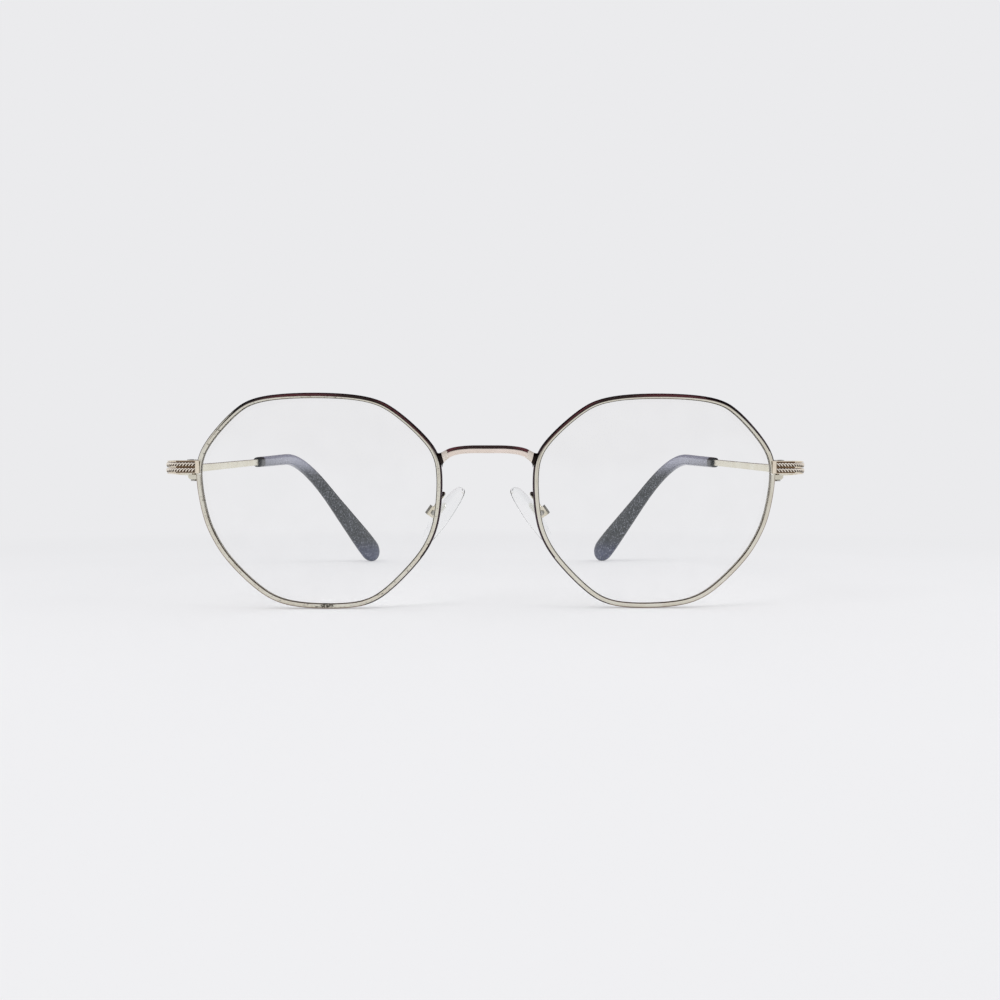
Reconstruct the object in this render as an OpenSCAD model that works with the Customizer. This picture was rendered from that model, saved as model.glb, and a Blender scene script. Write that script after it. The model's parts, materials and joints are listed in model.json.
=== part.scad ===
// Metal eyeglasses with bowed octagonal rims, standing open on a table.
// X points to the wearer's left, Y from the lenses to the ear tips, Z up from the table.
// The left half is modelled, and the right half is its mirror image.

/* [Lenses] */
// Width of a lens at its bevel
lens_w = 51; // [46:0.5:54]
// Height of a lens at its bevel
lens_h = 44.6; // [40:0.2:48]
// Distance between the two lenses
lens_gap = 20.8; // [18:0.2:23]
// Thickness of a lens
lens_t = 2; // [1.6:0.1:2.4]
// Radius of the lens's front curve
base_r = 130; // [90:5:260]
// How far each side of the octagon bows out
side_bow = 1.1; // [0.4:0.1:1.6]

/* [Rims] */
// Wall of the rim outside the bevel line
rim_wall = 0.7; // [0.6:0.05:1]
// Lip of the rim inside the bevel line
rim_lip = 0.45; // [0.35:0.05:0.6]
// Depth of the rim from front to back
rim_depth = 2; // [1.8:0.1:2.6]
// Share of the rim's front and back that is rounded off
rim_crown = 0.75; // [0.4:0.05:0.85]
// Width of the slit where the rim is closed
rim_slit = 0.25; // [0.15:0.05:0.4]

/* [Bridge] */
// Height of the bridge's underside above the lenses' middle, as a share of their height
bridge_rise = 0.229; // [0.19:0.005:0.25]
// Height of the bridge wire
bridge_h = 1.7; // [1.4:0.1:2]
// Depth of the bridge wire
bridge_t = 1.7; // [1.3:0.1:2]
// Drop of the bridge wire from its middle to its feet
bridge_drop = 2; // [1.6:0.1:2.6]

/* [End pieces] */
// Distance from a rim's outer wall to the temple's middle line at the hinge
band_reach = 6.6; // [5.8:0.1:8]
// Height of the end pieces' middle above the lenses' middle, as a share of their height
band_rise = 0.161; // [0.12:0.005:0.18]
// Height of the decorated band
band_h = 2.75; // [2.6:0.05:3.2]
// Thickness of the band's strip under its decoration
band_t = 0.85; // [0.7:0.05:1.1]
// How far the band's two borders stand off the strip
border_t = 0.3; // [0.2:0.05:0.4]
// Height of each border
border_h = 0.15; // [0.1:0.05:0.25]
// Outer radius of the band's bend
band_bend = 4.1; // [3:0.1:4.6]
// Height of each twisted wire on the band
rope_h = 0.85; // [0.7:0.05:0.95]
// Length of one bead of the twisted wire
rope_pitch = 0.65; // [0.6:0.05:0.9]

/* [Closing blocks] */
// Width of the block that closes a rim
block_w = 1.9; // [1.7:0.1:2.4]
// Depth of the block
block_d = 2.2; // [1.8:0.1:2.6]
// Height of the block's lower half
block_h = 1; // [0.9:0.1:1.6]
// Radius of the closing screw
block_screw_r = 0.45; // [0.4:0.05:0.5]

/* [Hinges] */
// Distance from the band's middle line in to the hinge pin
pin_in = 2.7; // [2.6:0.1:3]
// Distance of the hinge pin behind the rims' front
pin_y = 9.5; // [9:0.1:12]
// Radius of a hinge barrel
barrel_r = 1.3; // [1.2:0.05:1.4]
// Height of each hinge barrel
barrel_h = 0.95; // [0.8:0.05:1.2]
// Radius of the hinge screw
hinge_screw_r = 0.7; // [0.5:0.05:0.8]
// Length of each hinge leaf
leaf_len = 3.2; // [2.6:0.1:4]

/* [Temples] */
// Height of the temple strip at the hinge
strip_h = 2.8; // [2.4:0.1:3.2]
// Height of the temple strip past its taper
strip_slim_h = 1.7; // [1.5:0.1:2.2]
// Thickness of the temple strip
strip_t = 1.1; // [1:0.05:1.3]
// Straight stretch of the temple that carries the hinge
strip_straight = 5; // [4.6:0.1:7]
// Length of the strip's taper
strip_taper = 9; // [6:0.5:16]
// Distance of the ear bend behind the rims' front
ear_y = 106; // [94:1:112]
// Height of the ear bend above the table
ear_z = 37.7; // [34:0.1:39]
// How far the ear bend lies inside the hinges
ear_in = 4.1; // [0:0.1:7]
// Distance from the ear bend's corner to where its curve starts
ear_round = 18; // [10:0.5:22]
// Distance of the tip's end behind the rims' front
tip_end_y = 133.3; // [128:1:142]
// How far the tip's end lies inside the ear bend
tip_in = 22.2; // [12:0.2:24]

/* [Ear tips] */
// Distance from the hinge to the front end of the tip
tip_from = 52; // [45:0.5:60]
// Height of the tip at its front end
tip_h = 2.9; // [2.6:0.1:3.4]
// Thickness of the tip at its front end
tip_t = 2.5; // [2.3:0.1:3]
// Height of the tip after the ear bend
tip_mid_h = 4.6; // [3.6:0.1:5]
// Greatest height of the paddle
paddle_h = 8; // [6:0.1:9]
// Thickness of the paddle
paddle_t = 3.3; // [2.8:0.1:4]

/* [Nose pads] */
// Length of a nose pad
pad_len = 14.5; // [12:0.5:16]
// Width of a nose pad
pad_w = 7.5; // [6.5:0.1:8]
// Thickness of a nose pad
pad_t = 2.8; // [2.6:0.1:3.2]
// Distance of a pad's middle from the middle plane
pad_x = 9.9; // [9:0.1:11]
// Distance of a pad's middle behind the rims' front
pad_y = 8.6; // [8:0.1:10]
// Height of a pad's middle above the table
pad_z = 20; // [18:0.1:21]
// Lean of a pad's long axis from upright
pad_lean = 35; // [26:1:38]
// Turn of a pad's back edge away from the nose
pad_splay = 20; // [12:1:28]
// How far below the pad's middle its stem stands
stem_drop = 1; // [0:0.1:2]
// Height of a pad arm's foot above the pad's middle
arm_up = 4.3; // [4:0.1:6]
// Diameter of the wire of a pad arm
arm_d = 1; // [0.8:0.05:1.2]

/* [Clearances] */
// Gap between the lens's bevel and the rim's groove
bevel_gap = 0.06; // [0.03:0.01:0.1]
// Gap left between brazed pieces
braze = 0.02; // [0.01:0.01:0.05]
// Radial running clearance of screws in their bores
screw_gap = 0.03; // [0.02:0.01:0.06]
// Gap between hinge barrels and between butt faces
run_gap = 0.06; // [0.04:0.01:0.1]
// Gap round the core wire inside an ear tip
core_gap = 0.08; // [0.04:0.01:0.12]

/* [Hidden] */
$fn = 48;

GOLD = "#d9cfb4";
STEEL = "#b9b6ad";
DARK = "#4a4d55";
CLEAR = [0.86, 0.93, 0.95, 0.35];

// The outline: corners of the octagon round the lens's middle, nasal side positive,
// clockwise from the upper temporal corner, in the proportions that lens_w and lens_h scale
CORNERS = [[-15.1, 22], [12, 22.1], [25.4, 10], [24.2, -8.6],
  [11, -22.7], [-9.3, -22.2], [-22.7, -8.6], [-26.3, 9.2]];
// Share of a side that each corner's curve takes
corner_reach = 0.28;
// Stations along each of the outline's curves
steps = 4;

function side_controls(a, b) =
  let (d = b - a, out = [-d.y, d.x] / norm(d))
  [a, a + d * corner_reach + out * side_bow, b - d * corner_reach + out * side_bow];
controls = [for (i = [0:len(CORNERS) - 1])
  each side_controls(CORNERS[i], CORNERS[(i + 1) % len(CORNERS)])];

function curve_point(a, b, c, t) =
  0.5 * (1 - t) * (1 - t) * a + (0.5 + t - t * t) * b + 0.5 * t * t * c;
function curve_slope(a, b, c, t) = (t - 1) * a + (1 - 2 * t) * b + t * c;

n_ctrl = len(controls);
stations = [for (i = [0:n_ctrl - 1], k = [0:steps - 1])
  let (a = controls[(i + n_ctrl - 1) % n_ctrl], b = controls[i], c = controls[(i + 1) % n_ctrl])
  [curve_point(a, b, c, k / steps), curve_slope(a, b, c, k / steps)]];
n_stations = len(stations);
low = [min([for (s = stations) s[0].x]), min([for (s = stations) s[0].y])];
high = [max([for (s = stations) s[0].x]), max([for (s = stations) s[0].y])];
scale_x = lens_w / (high.x - low.x);
scale_z = lens_h / (high.y - low.y);
mid = (low + high) / 2;

// The left lens's box
lens_x = (lens_w + lens_gap) / 2;
lens_z = rim_wall + lens_h / 2;

// Bevel line of the left lens as [x, z], and the outward normal at each station
bevel = [for (s = stations)
  [lens_x - (s[0].x - mid.x) * scale_x, lens_z + (s[0].y - mid.y) * scale_z]];
outward = [for (s = stations)
  let (d = [-s[1].x * scale_x, s[1].y * scale_z]) [d.y, -d.x] / norm(d)];
// Set-back of the rim where it follows the lens's curve
function set_back(p) =
  (pow(p.x - lens_x, 2) + pow(p.y - lens_z, 2) - pow(lens_h / 2, 2)) / (2 * base_r);

// Solid through rings that have the same number of points, each clockwise seen from the ring before
module skin(rings, closed = false) {
  n = len(rings[0]);
  m = len(rings);
  sides = [for (i = [0:closed ? m - 1 : m - 2], j = [0:n - 1])
    let (a = i * n + j, b = i * n + (j + 1) % n, e = (i + 1) % m)
    let (c = e * n + (j + 1) % n, d = e * n + j)
    each [[a, b, c], [a, c, d]]];
  ends = closed ? [] : [[for (j = [n - 1:-1:0]) j], [for (j = [0:n - 1]) (m - 1) * n + j]];
  polyhedron(points = [for (r = rings) each r], faces = concat(sides, ends), convexity = 8);
}

// Section of the rim wire as [outward, back], with the lens groove inside
groove_half = rim_lip + bevel_gap;
lip_edge = 0.15;
crown_w = rim_crown * (rim_wall + rim_lip - lip_edge);
crown_d = rim_depth * 0.28;
function crown(a) = [rim_wall - crown_w * (1 - sin(a)), crown_d * (1 - cos(a))];
rim_section = [
  [-rim_lip, lip_edge], [lip_edge - rim_lip, 0],
  for (a = [0, 45, 90]) crown(a),
  for (a = [90, 45, 0]) [crown(a)[0], rim_depth - crown(a)[1]],
  [lip_edge - rim_lip, rim_depth], [-rim_lip, rim_depth - lip_edge],
  [-rim_lip, rim_depth / 2 + groove_half], [bevel_gap, rim_depth / 2],
  [-rim_lip, rim_depth / 2 - groove_half]];
function rim_ring(i) = let (p = bevel[i], o = outward[i])
  [for (s = rim_section) [p.x + o.x * s[0], set_back(p) + s[1], p.y + o.y * s[0]]];

// The station on one side of the lens that is nearest a height
function station_at(z, nasal) =
  let (away = [for (i = [0:n_stations - 1])
    abs(bevel[i].y - z) + ((bevel[i].x < lens_x) == nasal ? 0 : lens_w)])
  search(min(away), away)[0];

// Depth of the rim's front behind its frontmost plane, on one side of the lens at a height
function rim_front(z, nasal) = set_back(bevel[station_at(z, nasal)]);

// All that lies inside the flat face that touches the rim's wall at one height
module rim_side(z, nasal) {
  i = station_at(z, nasal);
  translate([bevel[i].x, 0, bevel[i].y]) rotate([0, -atan2(outward[i].y, outward[i].x), 0])
    translate([rim_wall + braze - lens_w, -lens_w, -lens_w]) cube([lens_w, 2 * lens_w, 2 * lens_w]);
}

band_z = lens_z + lens_h * band_rise;
band_top = band_z + band_h / 2;
band_foot = band_z - band_h / 2;
slit_z = band_foot - rim_slit / 2;

module rim() {
  difference() {
    skin([for (i = [n_stations - 1:-1:0]) rim_ring(i)], closed = true);
    translate([lens_x + lens_w / 4, -rim_depth, slit_z - rim_slit / 2])
      cube([lens_w / 2, 4 * rim_depth, rim_slit]);
  }
}

// Rings of the lens as [shrink towards its middle, outward, back]
lens_front = (rim_depth - lens_t) / 2;
lens_back = lens_front + lens_t;
lens_edge = -rim_lip - bevel_gap;
bevel_foot = groove_half - 3 * bevel_gap;
inner_ring = 0.55;
LENS_RINGS = [[inner_ring, 0, lens_front],
  [1, lens_edge, lens_front], [1, lens_edge, rim_depth / 2 - bevel_foot],
  [1, -bevel_gap, rim_depth / 2], [1, lens_edge, rim_depth / 2 + bevel_foot],
  [1, lens_edge, lens_back], [inner_ring, 0, lens_back]];
function lens_ring(r) = [for (i = [0:n_stations - 1])
  let (p = bevel[i], m = [lens_x, lens_z], q = m + (p - m) * r[0] + outward[i] * r[1])
  let (back = r[0] < 1 ? set_back(q) : set_back(p))
  [q.x, back + r[2], q.y]];

module lens() {
  n = n_stations;
  m = len(LENS_RINGS);
  rings = [for (r = LENS_RINGS) lens_ring(r)];
  middle = [lens_x, lens_z];
  front = [lens_x, set_back(middle) + lens_front, lens_z];
  back = [lens_x, set_back(middle) + lens_back, lens_z];
  sides = [for (i = [0:m - 2], j = [0:n - 1])
    let (a = i * n + j, b = i * n + (j + 1) % n)
    each [[a, b, b + n], [a, b + n, a + n]]];
  last = (m - 1) * n;
  caps = [for (j = [0:n - 1])
    let (k = (j + 1) % n)
    each [[k, j, m * n], [last + j, last + k, m * n + 1]]];
  points = concat([for (r = rings) each r], [front, back]);
  polyhedron(points = points, faces = concat(sides, caps), convexity = 4);
}

// Rectangle with cut corners as [across, along], for wires and strips
function cut_box(w, h, c) = [
  [-w / 2 + c, -h / 2], [w / 2 - c, -h / 2], [w / 2, -h / 2 + c], [w / 2, h / 2 - c],
  [w / 2 - c, h / 2], [-w / 2 + c, h / 2], [-w / 2, h / 2 - c], [-w / 2, -h / 2 + c]];
function unit(v) = v / norm(v);

// The bridge's top and underside from a rim to the middle, as shares of the way and of the drop
nasal_wall = lens_x - lens_w / 2 - rim_wall;
BRIDGE_TOP = [[1.289, 1.6], [0.936, 0.49], [0.755, 0.18], [0.433, 0], [0, 0]];
BRIDGE_UNDER = [[1.134, 1.8], [0.912, 0.7], [0.763, 0.225], [0.474, 0], [0, 0]];
bridge_under = lens_z + lens_h * bridge_rise;
bridge_seat_z = bridge_under + bridge_h / 2 - bridge_drop;
bridge_y = rim_front(bridge_seat_z, true) + rim_depth / 2;
function whole_span(half, z) = [for (side = [1, -1], i = [0:len(half) - (side > 0 ? 1 : 2)])
  let (q = half[side > 0 ? i : len(half) - 2 - i])
  [side * q.x * nasal_wall, z - q.y * bridge_drop]];

module bridge() {
  tops = whole_span(BRIDGE_TOP, bridge_under + bridge_h);
  unders = whole_span(BRIDGE_UNDER, bridge_under);
  n = len(tops);
  rings = [for (i = [1:n - 2], k = [0:i < n - 2 ? 3 : 4])
    let (t = k / 4)
    let (p = curve_point(tops[i - 1], tops[i], tops[i + 1], t))
    let (q = curve_point(unders[i - 1], unders[i], unders[i + 1], t))
    let (m = (p + q) / 2, up = unit(p - q))
    [for (c = cut_box(bridge_t, norm(p - q), bridge_h / 4))
      [m.x + up.x * c[1], bridge_y + c[0], m.y + up.y * c[1]]]];
  difference() {
    skin(rings);
    for (side = [0, 1]) mirror([side, 0, 0]) rim_side(bridge_seat_z, true);
  }
}

// The end piece: a band that leaves the rim, bends back and ends in the butt face
temporal_wall = lens_x + lens_w / 2 + rim_wall;
band_x = temporal_wall + band_reach;
pin_x = band_x - pin_in;
strip_in = band_x - strip_t / 2;
band_in = strip_in;
band_out = band_in + band_t + border_t;
band_proud = 0.35;
band_front = rim_front(band_z, false) - band_proud;
bend_x = band_out - band_bend;
bend_y = band_front + band_bend;
butt_y = pin_y - run_gap / 2;
plain_to = temporal_wall + 0.45;
lap = 0.5;
lap_back = min(rim_front(band_top, false), rim_front(band_foot, false)) - braze;
into_rim = 0.3;
block_x = temporal_wall - into_rim;
block_y = band_front + border_t + band_t;
screw_x = temporal_wall + block_w / 2 + 0.05;
screw_y = block_y + block_d / 2;

// Plan of the band between two depths under its outer face, from near the rim to near the hinge
module band_plan(outer, inner, from, to) {
  translate([from, band_front + outer]) square([bend_x - from, inner - outer]);
  translate([band_out - inner, bend_y]) square([inner - outer, to - bend_y]);
  intersection() {
    translate([bend_x, bend_y]) difference() {
      circle(band_bend - outer);
      circle(band_bend - inner);
    }
    translate([bend_x, bend_y - band_bend]) square(band_bend);
  }
}

module end_piece() {
  difference() {
    union() {
      translate([0, 0, band_foot]) linear_extrude(band_h)
        band_plan(0, border_t + band_t, block_x, butt_y);
      translate([block_x, block_y - border_t, band_foot])
        cube([block_w + into_rim, block_d + border_t, band_h]);
    }
    translate([0, 0, band_foot + border_h]) linear_extrude(band_h - 2 * border_h)
      band_plan(-border_t, border_t, plain_to, butt_y + border_t);
    translate([screw_x, screw_y, band_foot - band_h / 2])
      cylinder(r = block_screw_r + screw_gap, h = band_h * 1.35);
    rim_side(band_z - band_h / 4, false);
  }
  translate([temporal_wall - lap, band_front, band_foot])
    cube([lap * 1.5, lap_back - band_front, band_h]);
}

// The twisted wires that lie between the band's borders
rope_depth = 0.55;
rope_slim = 0.55;
rope_off = rope_h / 2 * rope_depth + braze;
rope_r = band_bend - border_t + rope_off;
rope_y = band_front + border_t - rope_off;
rope_from = plain_to + border_h / 2;
rope_to = butt_y - border_h;
run_front = bend_x - rope_from;
run_bend = rope_r * PI / 2;
run_side = rope_to - bend_y;
// Point and outward direction on the wires' plan, as [x, y, out x, out y], a distance along
function rope_at(s) =
  s < run_front ? [rope_from + s, rope_y, 0, -1] :
  s < run_front + run_bend ?
    let (a = (s - run_front) / rope_r * 180 / PI)
    [bend_x + rope_r * sin(a), bend_y - rope_r * cos(a), sin(a), -cos(a)] :
    [bend_x + rope_r, bend_y + s - run_front - run_bend, 1, 0];
rope_len = run_front + run_bend + run_side;
rope_sides = 6;
turns_per_bead = 3;
rope_rings = round(rope_len / rope_pitch) * turns_per_bead;

module rope(z) {
  skin([for (i = [0:rope_rings])
    let (p = rope_at(rope_len * i / rope_rings), turn = 180 * i / turns_per_bead)
    [for (k = [0:rope_sides - 1])
      let (a = 360 * k / rope_sides)
      let (u = rope_h / 2 * cos(a), v = -rope_h / 2 * rope_slim * sin(a))
      let (up = u * cos(turn) - v * sin(turn), out = rope_depth * (u * sin(turn) + v * cos(turn)))
      [p[0] + p[2] * out, p[1] + p[3] * out, z + up]]]);
}

module rope_trim() {
  row = (band_h - 2 * border_h) / 4 - braze;
  rope(band_z + row);
  rope(band_z - row);
}

// The lower half of the closing block, and the screw that pulls it up to the end piece
module closing_block() {
  w = block_w + into_rim;
  cut = block_h * 0.4;
  difference() {
    translate([block_x, block_y + block_d, band_foot - rim_slit - block_h]) rotate([90, 0, 0])
      linear_extrude(block_d) polygon([[0, 0], [w - cut, 0], [w, cut], [w, block_h], [0, block_h]]);
    translate([screw_x, screw_y, band_foot - rim_slit - 2 * block_h])
      cylinder(r = block_screw_r + screw_gap, h = 3 * block_h);
    rim_side(band_z - band_h / 4, false);
  }
}

module slotted_head(r, h) {
  difference() {
    cylinder(r = r, h = h);
    translate([-2 * r, -r * 0.15, h / 2]) cube([4 * r, r * 0.3, h]);
  }
}
head_h = 0.3;

module closing_screw() {
  foot = band_foot - rim_slit - block_h - braze;
  translate([screw_x, screw_y, foot]) {
    cylinder(r = block_screw_r, h = band_foot - foot + band_h * 0.6);
    rotate([180, 0, 0]) slotted_head(block_screw_r * 1.5, head_h);
  }
}

// The hinge: three barrels on one screw, the middle one on the temple
hinge_up = 0.2;
hinge_z = band_z + hinge_up;
hinge_foot = hinge_z - 1.5 * barrel_h - run_gap;
hinge_top = hinge_z + 1.5 * barrel_h + run_gap;
leaf_t = 0.75;
web = 0.6;
leaf_gap = barrel_r * 1.12;
leaf_h = min(band_h, strip_h) * 0.7;
reach = pin_in - strip_t / 2 - braze;

// One barrel with the web that joins it to its leaf, ahead of the pin or behind it
module barrel(z, h, way) {
  translate([0, 0, z]) {
    cylinder(r = barrel_r, h = h);
    translate([0, way > 0 ? 0 : -leaf_gap - web, 0]) cube([reach, leaf_gap + web, h]);
  }
}

module leaf(way) {
  translate([reach - leaf_t, way > 0 ? leaf_gap : -leaf_gap - leaf_len, band_z - leaf_h / 2])
    cube([leaf_t, leaf_len, leaf_h]);
}

module pin_bore() {
  translate([0, 0, hinge_foot - barrel_h])
    cylinder(r = hinge_screw_r + screw_gap, h = hinge_top - hinge_foot + 2 * barrel_h);
}

module hinge_front() {
  translate([pin_x, pin_y, 0]) difference() {
    union() {
      barrel(hinge_foot, barrel_h, -1);
      barrel(hinge_top - barrel_h, barrel_h, -1);
      leaf(-1);
    }
    pin_bore();
    translate([-barrel_r, run_gap / 2 - leaf_len - leaf_gap, hinge_z - barrel_h / 2 - run_gap])
      cube([barrel_r + reach - leaf_t, leaf_len + leaf_gap, barrel_h + 2 * run_gap]);
  }
}

module hinge_temple() {
  translate([pin_x, pin_y, 0]) difference() {
    union() {
      barrel(hinge_z - barrel_h / 2, barrel_h, 1);
      leaf(1);
    }
    pin_bore();
  }
}

module hinge_screw() {
  translate([pin_x, pin_y, 0]) {
    translate([0, 0, hinge_foot]) cylinder(r = hinge_screw_r, h = hinge_top - hinge_foot);
    translate([0, 0, hinge_top + braze]) slotted_head(barrel_r * 0.88, head_h);
    translate([0, 0, hinge_top - head_h / 2]) cylinder(r = hinge_screw_r, h = head_h);
  }
}

// The temple's middle line: a straight stub at the hinge, a run to the ear bend, then the drop
temple_y = pin_y + run_gap / 2;
stub_end = [band_x, temple_y + strip_straight, band_z];
stub_start = [band_x, temple_y, band_z];
ear = [band_x - ear_in, ear_y, ear_z];
function tip_end(z) = [ear.x - tip_in, tip_end_y, z];
function bend_in() = ear - unit(ear - stub_end) * ear_round;
function bend_out(z) = ear + unit(tip_end(z) - ear) * ear_round;
// Point on the line by u: 0 to 1 is the run, 1 to 2 the bend, 2 to 3 the drop
function line_point(u, z) =
  u < 1 ? stub_end + (bend_in() - stub_end) * u :
  u < 2 ? let (t = u - 1, s = 2 - u) s * s * bend_in() + 2 * t * s * ear + t * t * bend_out(z) :
  bend_out(z) + (tip_end(z) - bend_out(z)) * (u - 2);
function line_way(u, z) =
  u < 1 ? unit(ear - stub_end) :
  u < 2 ? let (t = u - 1) unit((1 - t) * (ear - bend_in()) + t * (bend_out(z) - ear)) :
  unit(tip_end(z) - ear);
// Ring of a section as [across, up] set square to the line
function line_ring(u, z, section) =
  let (p = line_point(u, z), t = line_way(u, z), side = unit([t.y, -t.x, 0]), up = cross(side, t))
  [for (s = section) p + side * s[0] + up * s[1]];
function oval(w, h, n) = [for (k = [0:n - 1])
  let (a = 360 * k / n + 180 / n, c = cos(a), s = sin(a))
  [w / 2 * sign(c) * pow(abs(c), 0.75), h / 2 * sign(s) * pow(abs(s), 0.75)]];

run_len = norm(bend_in() - stub_end);
drop_len = norm(tip_end(4) - ear) - ear_round;
tip_u = (tip_from - strip_straight) / run_len;
end_round = paddle_h * 0.63;
end_u = 3 - end_round / drop_len;
paddle_u = end_u - 0.12;
function tip_height(u) =
  lookup(u, [[tip_u, tip_h], [1, tip_h * 1.17], [2, tip_mid_h], [paddle_u, paddle_h], [3, paddle_h]]);
function tip_thick(u) =
  lookup(u, [[tip_u, tip_t], [1, tip_t * 1.08], [2, tip_t * 1.16], [end_u, paddle_t]]);
// The front end of the tip is a little slimmer, with its edge rounded over a short length
lead_u = 0.012;
lead_size = 0.86;
bend_steps = 8;
TIP_US = concat([tip_u, tip_u + lead_u, (tip_u + 1) / 2],
  [for (k = [0:bend_steps]) 1 + k / bend_steps], [2.25, 2.5, paddle_u]);
END_ANGLES = [0, 20, 40, 57, 71, 82];
function tip_ring(u, z, w, h) = line_ring(u, z, oval(tip_thick(u) * w, tip_height(u) * h, 12));
function tip_rings(z) = concat(
  [for (u = TIP_US) let (size = u == tip_u ? lead_size : 1) tip_ring(u, z, size, size)],
  [for (a = END_ANGLES) tip_ring(end_u + (3 - end_u) * sin(a), z, pow(cos(a), 0.6), cos(a))]);
function lowest(z) = min([for (r = tip_rings(z), p = r) p.z]);
end_z1 = 4 - lowest(4);
end_z2 = end_z1 - lowest(end_z1);
end_z = end_z2 - lowest(end_z2);

// The strip's section along its taper, and the slimmer core that it runs on as inside the tip
strip_edge = strip_t * 0.23;
core_size = 0.82;
core_u = 2.8;
core_steps = 6;
core_from = tip_u - 0.003;
core_overrun = 0.02;
function strip_ring(u, h) = line_ring(u, end_z, cut_box(strip_t, h, strip_edge));
function core_ring(u, grow) = line_ring(u, end_z,
  cut_box(strip_t * core_size + 2 * grow, strip_slim_h * core_size + 2 * grow, strip_edge));
function core_rings(from, to, grow) =
  [for (u = [from, for (k = [0:core_steps]) 1 + k / core_steps, to]) core_ring(u, grow)];

module temple_bar() {
  stub = [for (p = [stub_start, stub_end])
    [for (c = cut_box(strip_t, strip_h, strip_edge)) p + [c[0], 0, c[1]]]];
  tapered = [for (k = [1:3])
    strip_ring(k / 3 * strip_taper / run_len, strip_h + (strip_slim_h - strip_h) * k / 3)];
  slim = [strip_ring(core_from - 0.001, strip_slim_h)];
  skin(concat(stub, tapered, slim, core_rings(core_from, core_u, 0)));
}

module temple_tip() {
  difference() {
    skin(tip_rings(end_z));
    skin(core_rings(tip_u - core_overrun, core_u + core_overrun, core_gap));
  }
}

// A pad's own axes: x away from the nose, y back, z up along the pad
module on_pad() {
  translate([pad_x, pad_y, pad_z]) rotate([0, -pad_lean, 0]) rotate([0, 0, -pad_splay]) children();
}
function pad_place(p) =
  let (x = p.x * cos(pad_splay) + p.y * sin(pad_splay))
  let (y = p.y * cos(pad_splay) - p.x * sin(pad_splay))
  [pad_x + x * cos(pad_lean) - p.z * sin(pad_lean), pad_y + y,
    pad_z + x * sin(pad_lean) + p.z * cos(pad_lean)];

// The stem's eye turns on a screw in a box that is open towards the pad
stem_w = 1.1;
stem_r = 0.75;
pivot_x = pad_t / 2 + 1.1;
cheek_t = 0.42;
eye_gap = 0.12;
box_in = stem_w / 2 + eye_gap;
box_mouth = pivot_x - stem_r;
box_back = pivot_x + stem_r + eye_gap;
box_half = stem_r + eye_gap + cheek_t;
pad_screw_r = 0.4;
plate_x = pad_t * 0.1;
plate_t = 0.5;
plate_len = pad_len * 0.42;
plate_w = pad_w * 0.45;
neck_h = stem_r * 1.5;
plate_gap = 0.04;

module plate_shape(grow) {
  translate([plate_x - grow, 0, 0]) rotate([0, 90, 0]) linear_extrude(plate_t + 2 * grow) {
    square([plate_len - plate_w, plate_w + 2 * grow], center = true);
    for (side = [-1, 1]) translate([side * (plate_len - plate_w) / 2, 0]) circle(plate_w / 2 + grow);
  }
  translate([plate_x + plate_t / 2, -stem_w / 2 - grow, -stem_drop - neck_h / 2 - grow])
    cube([pivot_x - plate_x - plate_t / 2, stem_w + 2 * grow, neck_h + 2 * grow]);
}

// A round bar square to the stem's sides, round the pivot
module pivot_bar(r, length) {
  translate([pivot_x, length / 2, -stem_drop]) rotate([90, 0, 0]) cylinder(r = r, h = length);
}

module pad_stem() {
  on_pad() difference() {
    union() {
      plate_shape(0);
      pivot_bar(stem_r, stem_w);
    }
    pivot_bar(pad_screw_r + screw_gap, 2 * stem_w);
  }
}

// The pad narrows and thins towards its ends, and its ends curve a little towards the nose
pad_steps = 7;
last_turn = 86;
taper_power = 0.75;
pad_drop_shape = 0.06;
pad_curl = 0.12;
function pad_ring(a) =
  let (size = pow(cos(a), taper_power), z = pad_len / 2 * sin(a) / sin(last_turn))
  let (w = pad_w * size * (1 - pad_drop_shape * sin(a)), t = pad_t * pow(cos(a), 0.6))
  [for (c = oval(t, w, 16)) [c[0] - pad_curl * pad_t * (1 - size), c[1], z]];

module nose_pad() {
  on_pad() difference() {
    skin([for (k = [pad_steps:-1:-pad_steps]) pad_ring(last_turn * k / pad_steps)]);
    plate_shape(plate_gap);
  }
}

module pad_box() {
  on_pad() difference() {
    translate([box_mouth, -box_in - cheek_t, -stem_drop - box_half])
      cube([box_back + cheek_t - box_mouth, 2 * (box_in + cheek_t), 2 * box_half]);
    translate([0, -box_in, -stem_drop - box_half + cheek_t])
      cube([box_back, 2 * box_in, 2 * (box_half - cheek_t)]);
    pivot_bar(pad_screw_r + screw_gap, 4 * box_in + 4 * cheek_t);
  }
}

module pad_screw() {
  on_pad() {
    pivot_bar(pad_screw_r, 2 * (box_in + cheek_t) + 4 * braze);
    translate([pivot_x, -box_in - cheek_t - braze, -stem_drop]) rotate([90, 0, 0])
      slotted_head(pad_screw_r * 1.7, head_h);
  }
}

// The pad arm's wire runs from the back of the rim to the top of the pad box, behind the rim
arm_z = pad_z + arm_up;
arm_from = [nasal_wall + rim_wall * 0.4, rim_front(arm_z, true) + rim_depth + 2 * braze, arm_z];
box_top = box_half - stem_drop + braze;
arm_to = pad_place([pivot_x, 0, box_top]);
arm_in = pad_place([pivot_x, 0, box_top + arm_d]);
arm_controls = [arm_from - [0, 0.7, 0], arm_from + [0, 0.7, 0], arm_from + [0.3, 2.3, 0.2],
  arm_in + [-0.3, -0.5, 0.9], arm_in, 2 * arm_to - arm_in];

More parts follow.
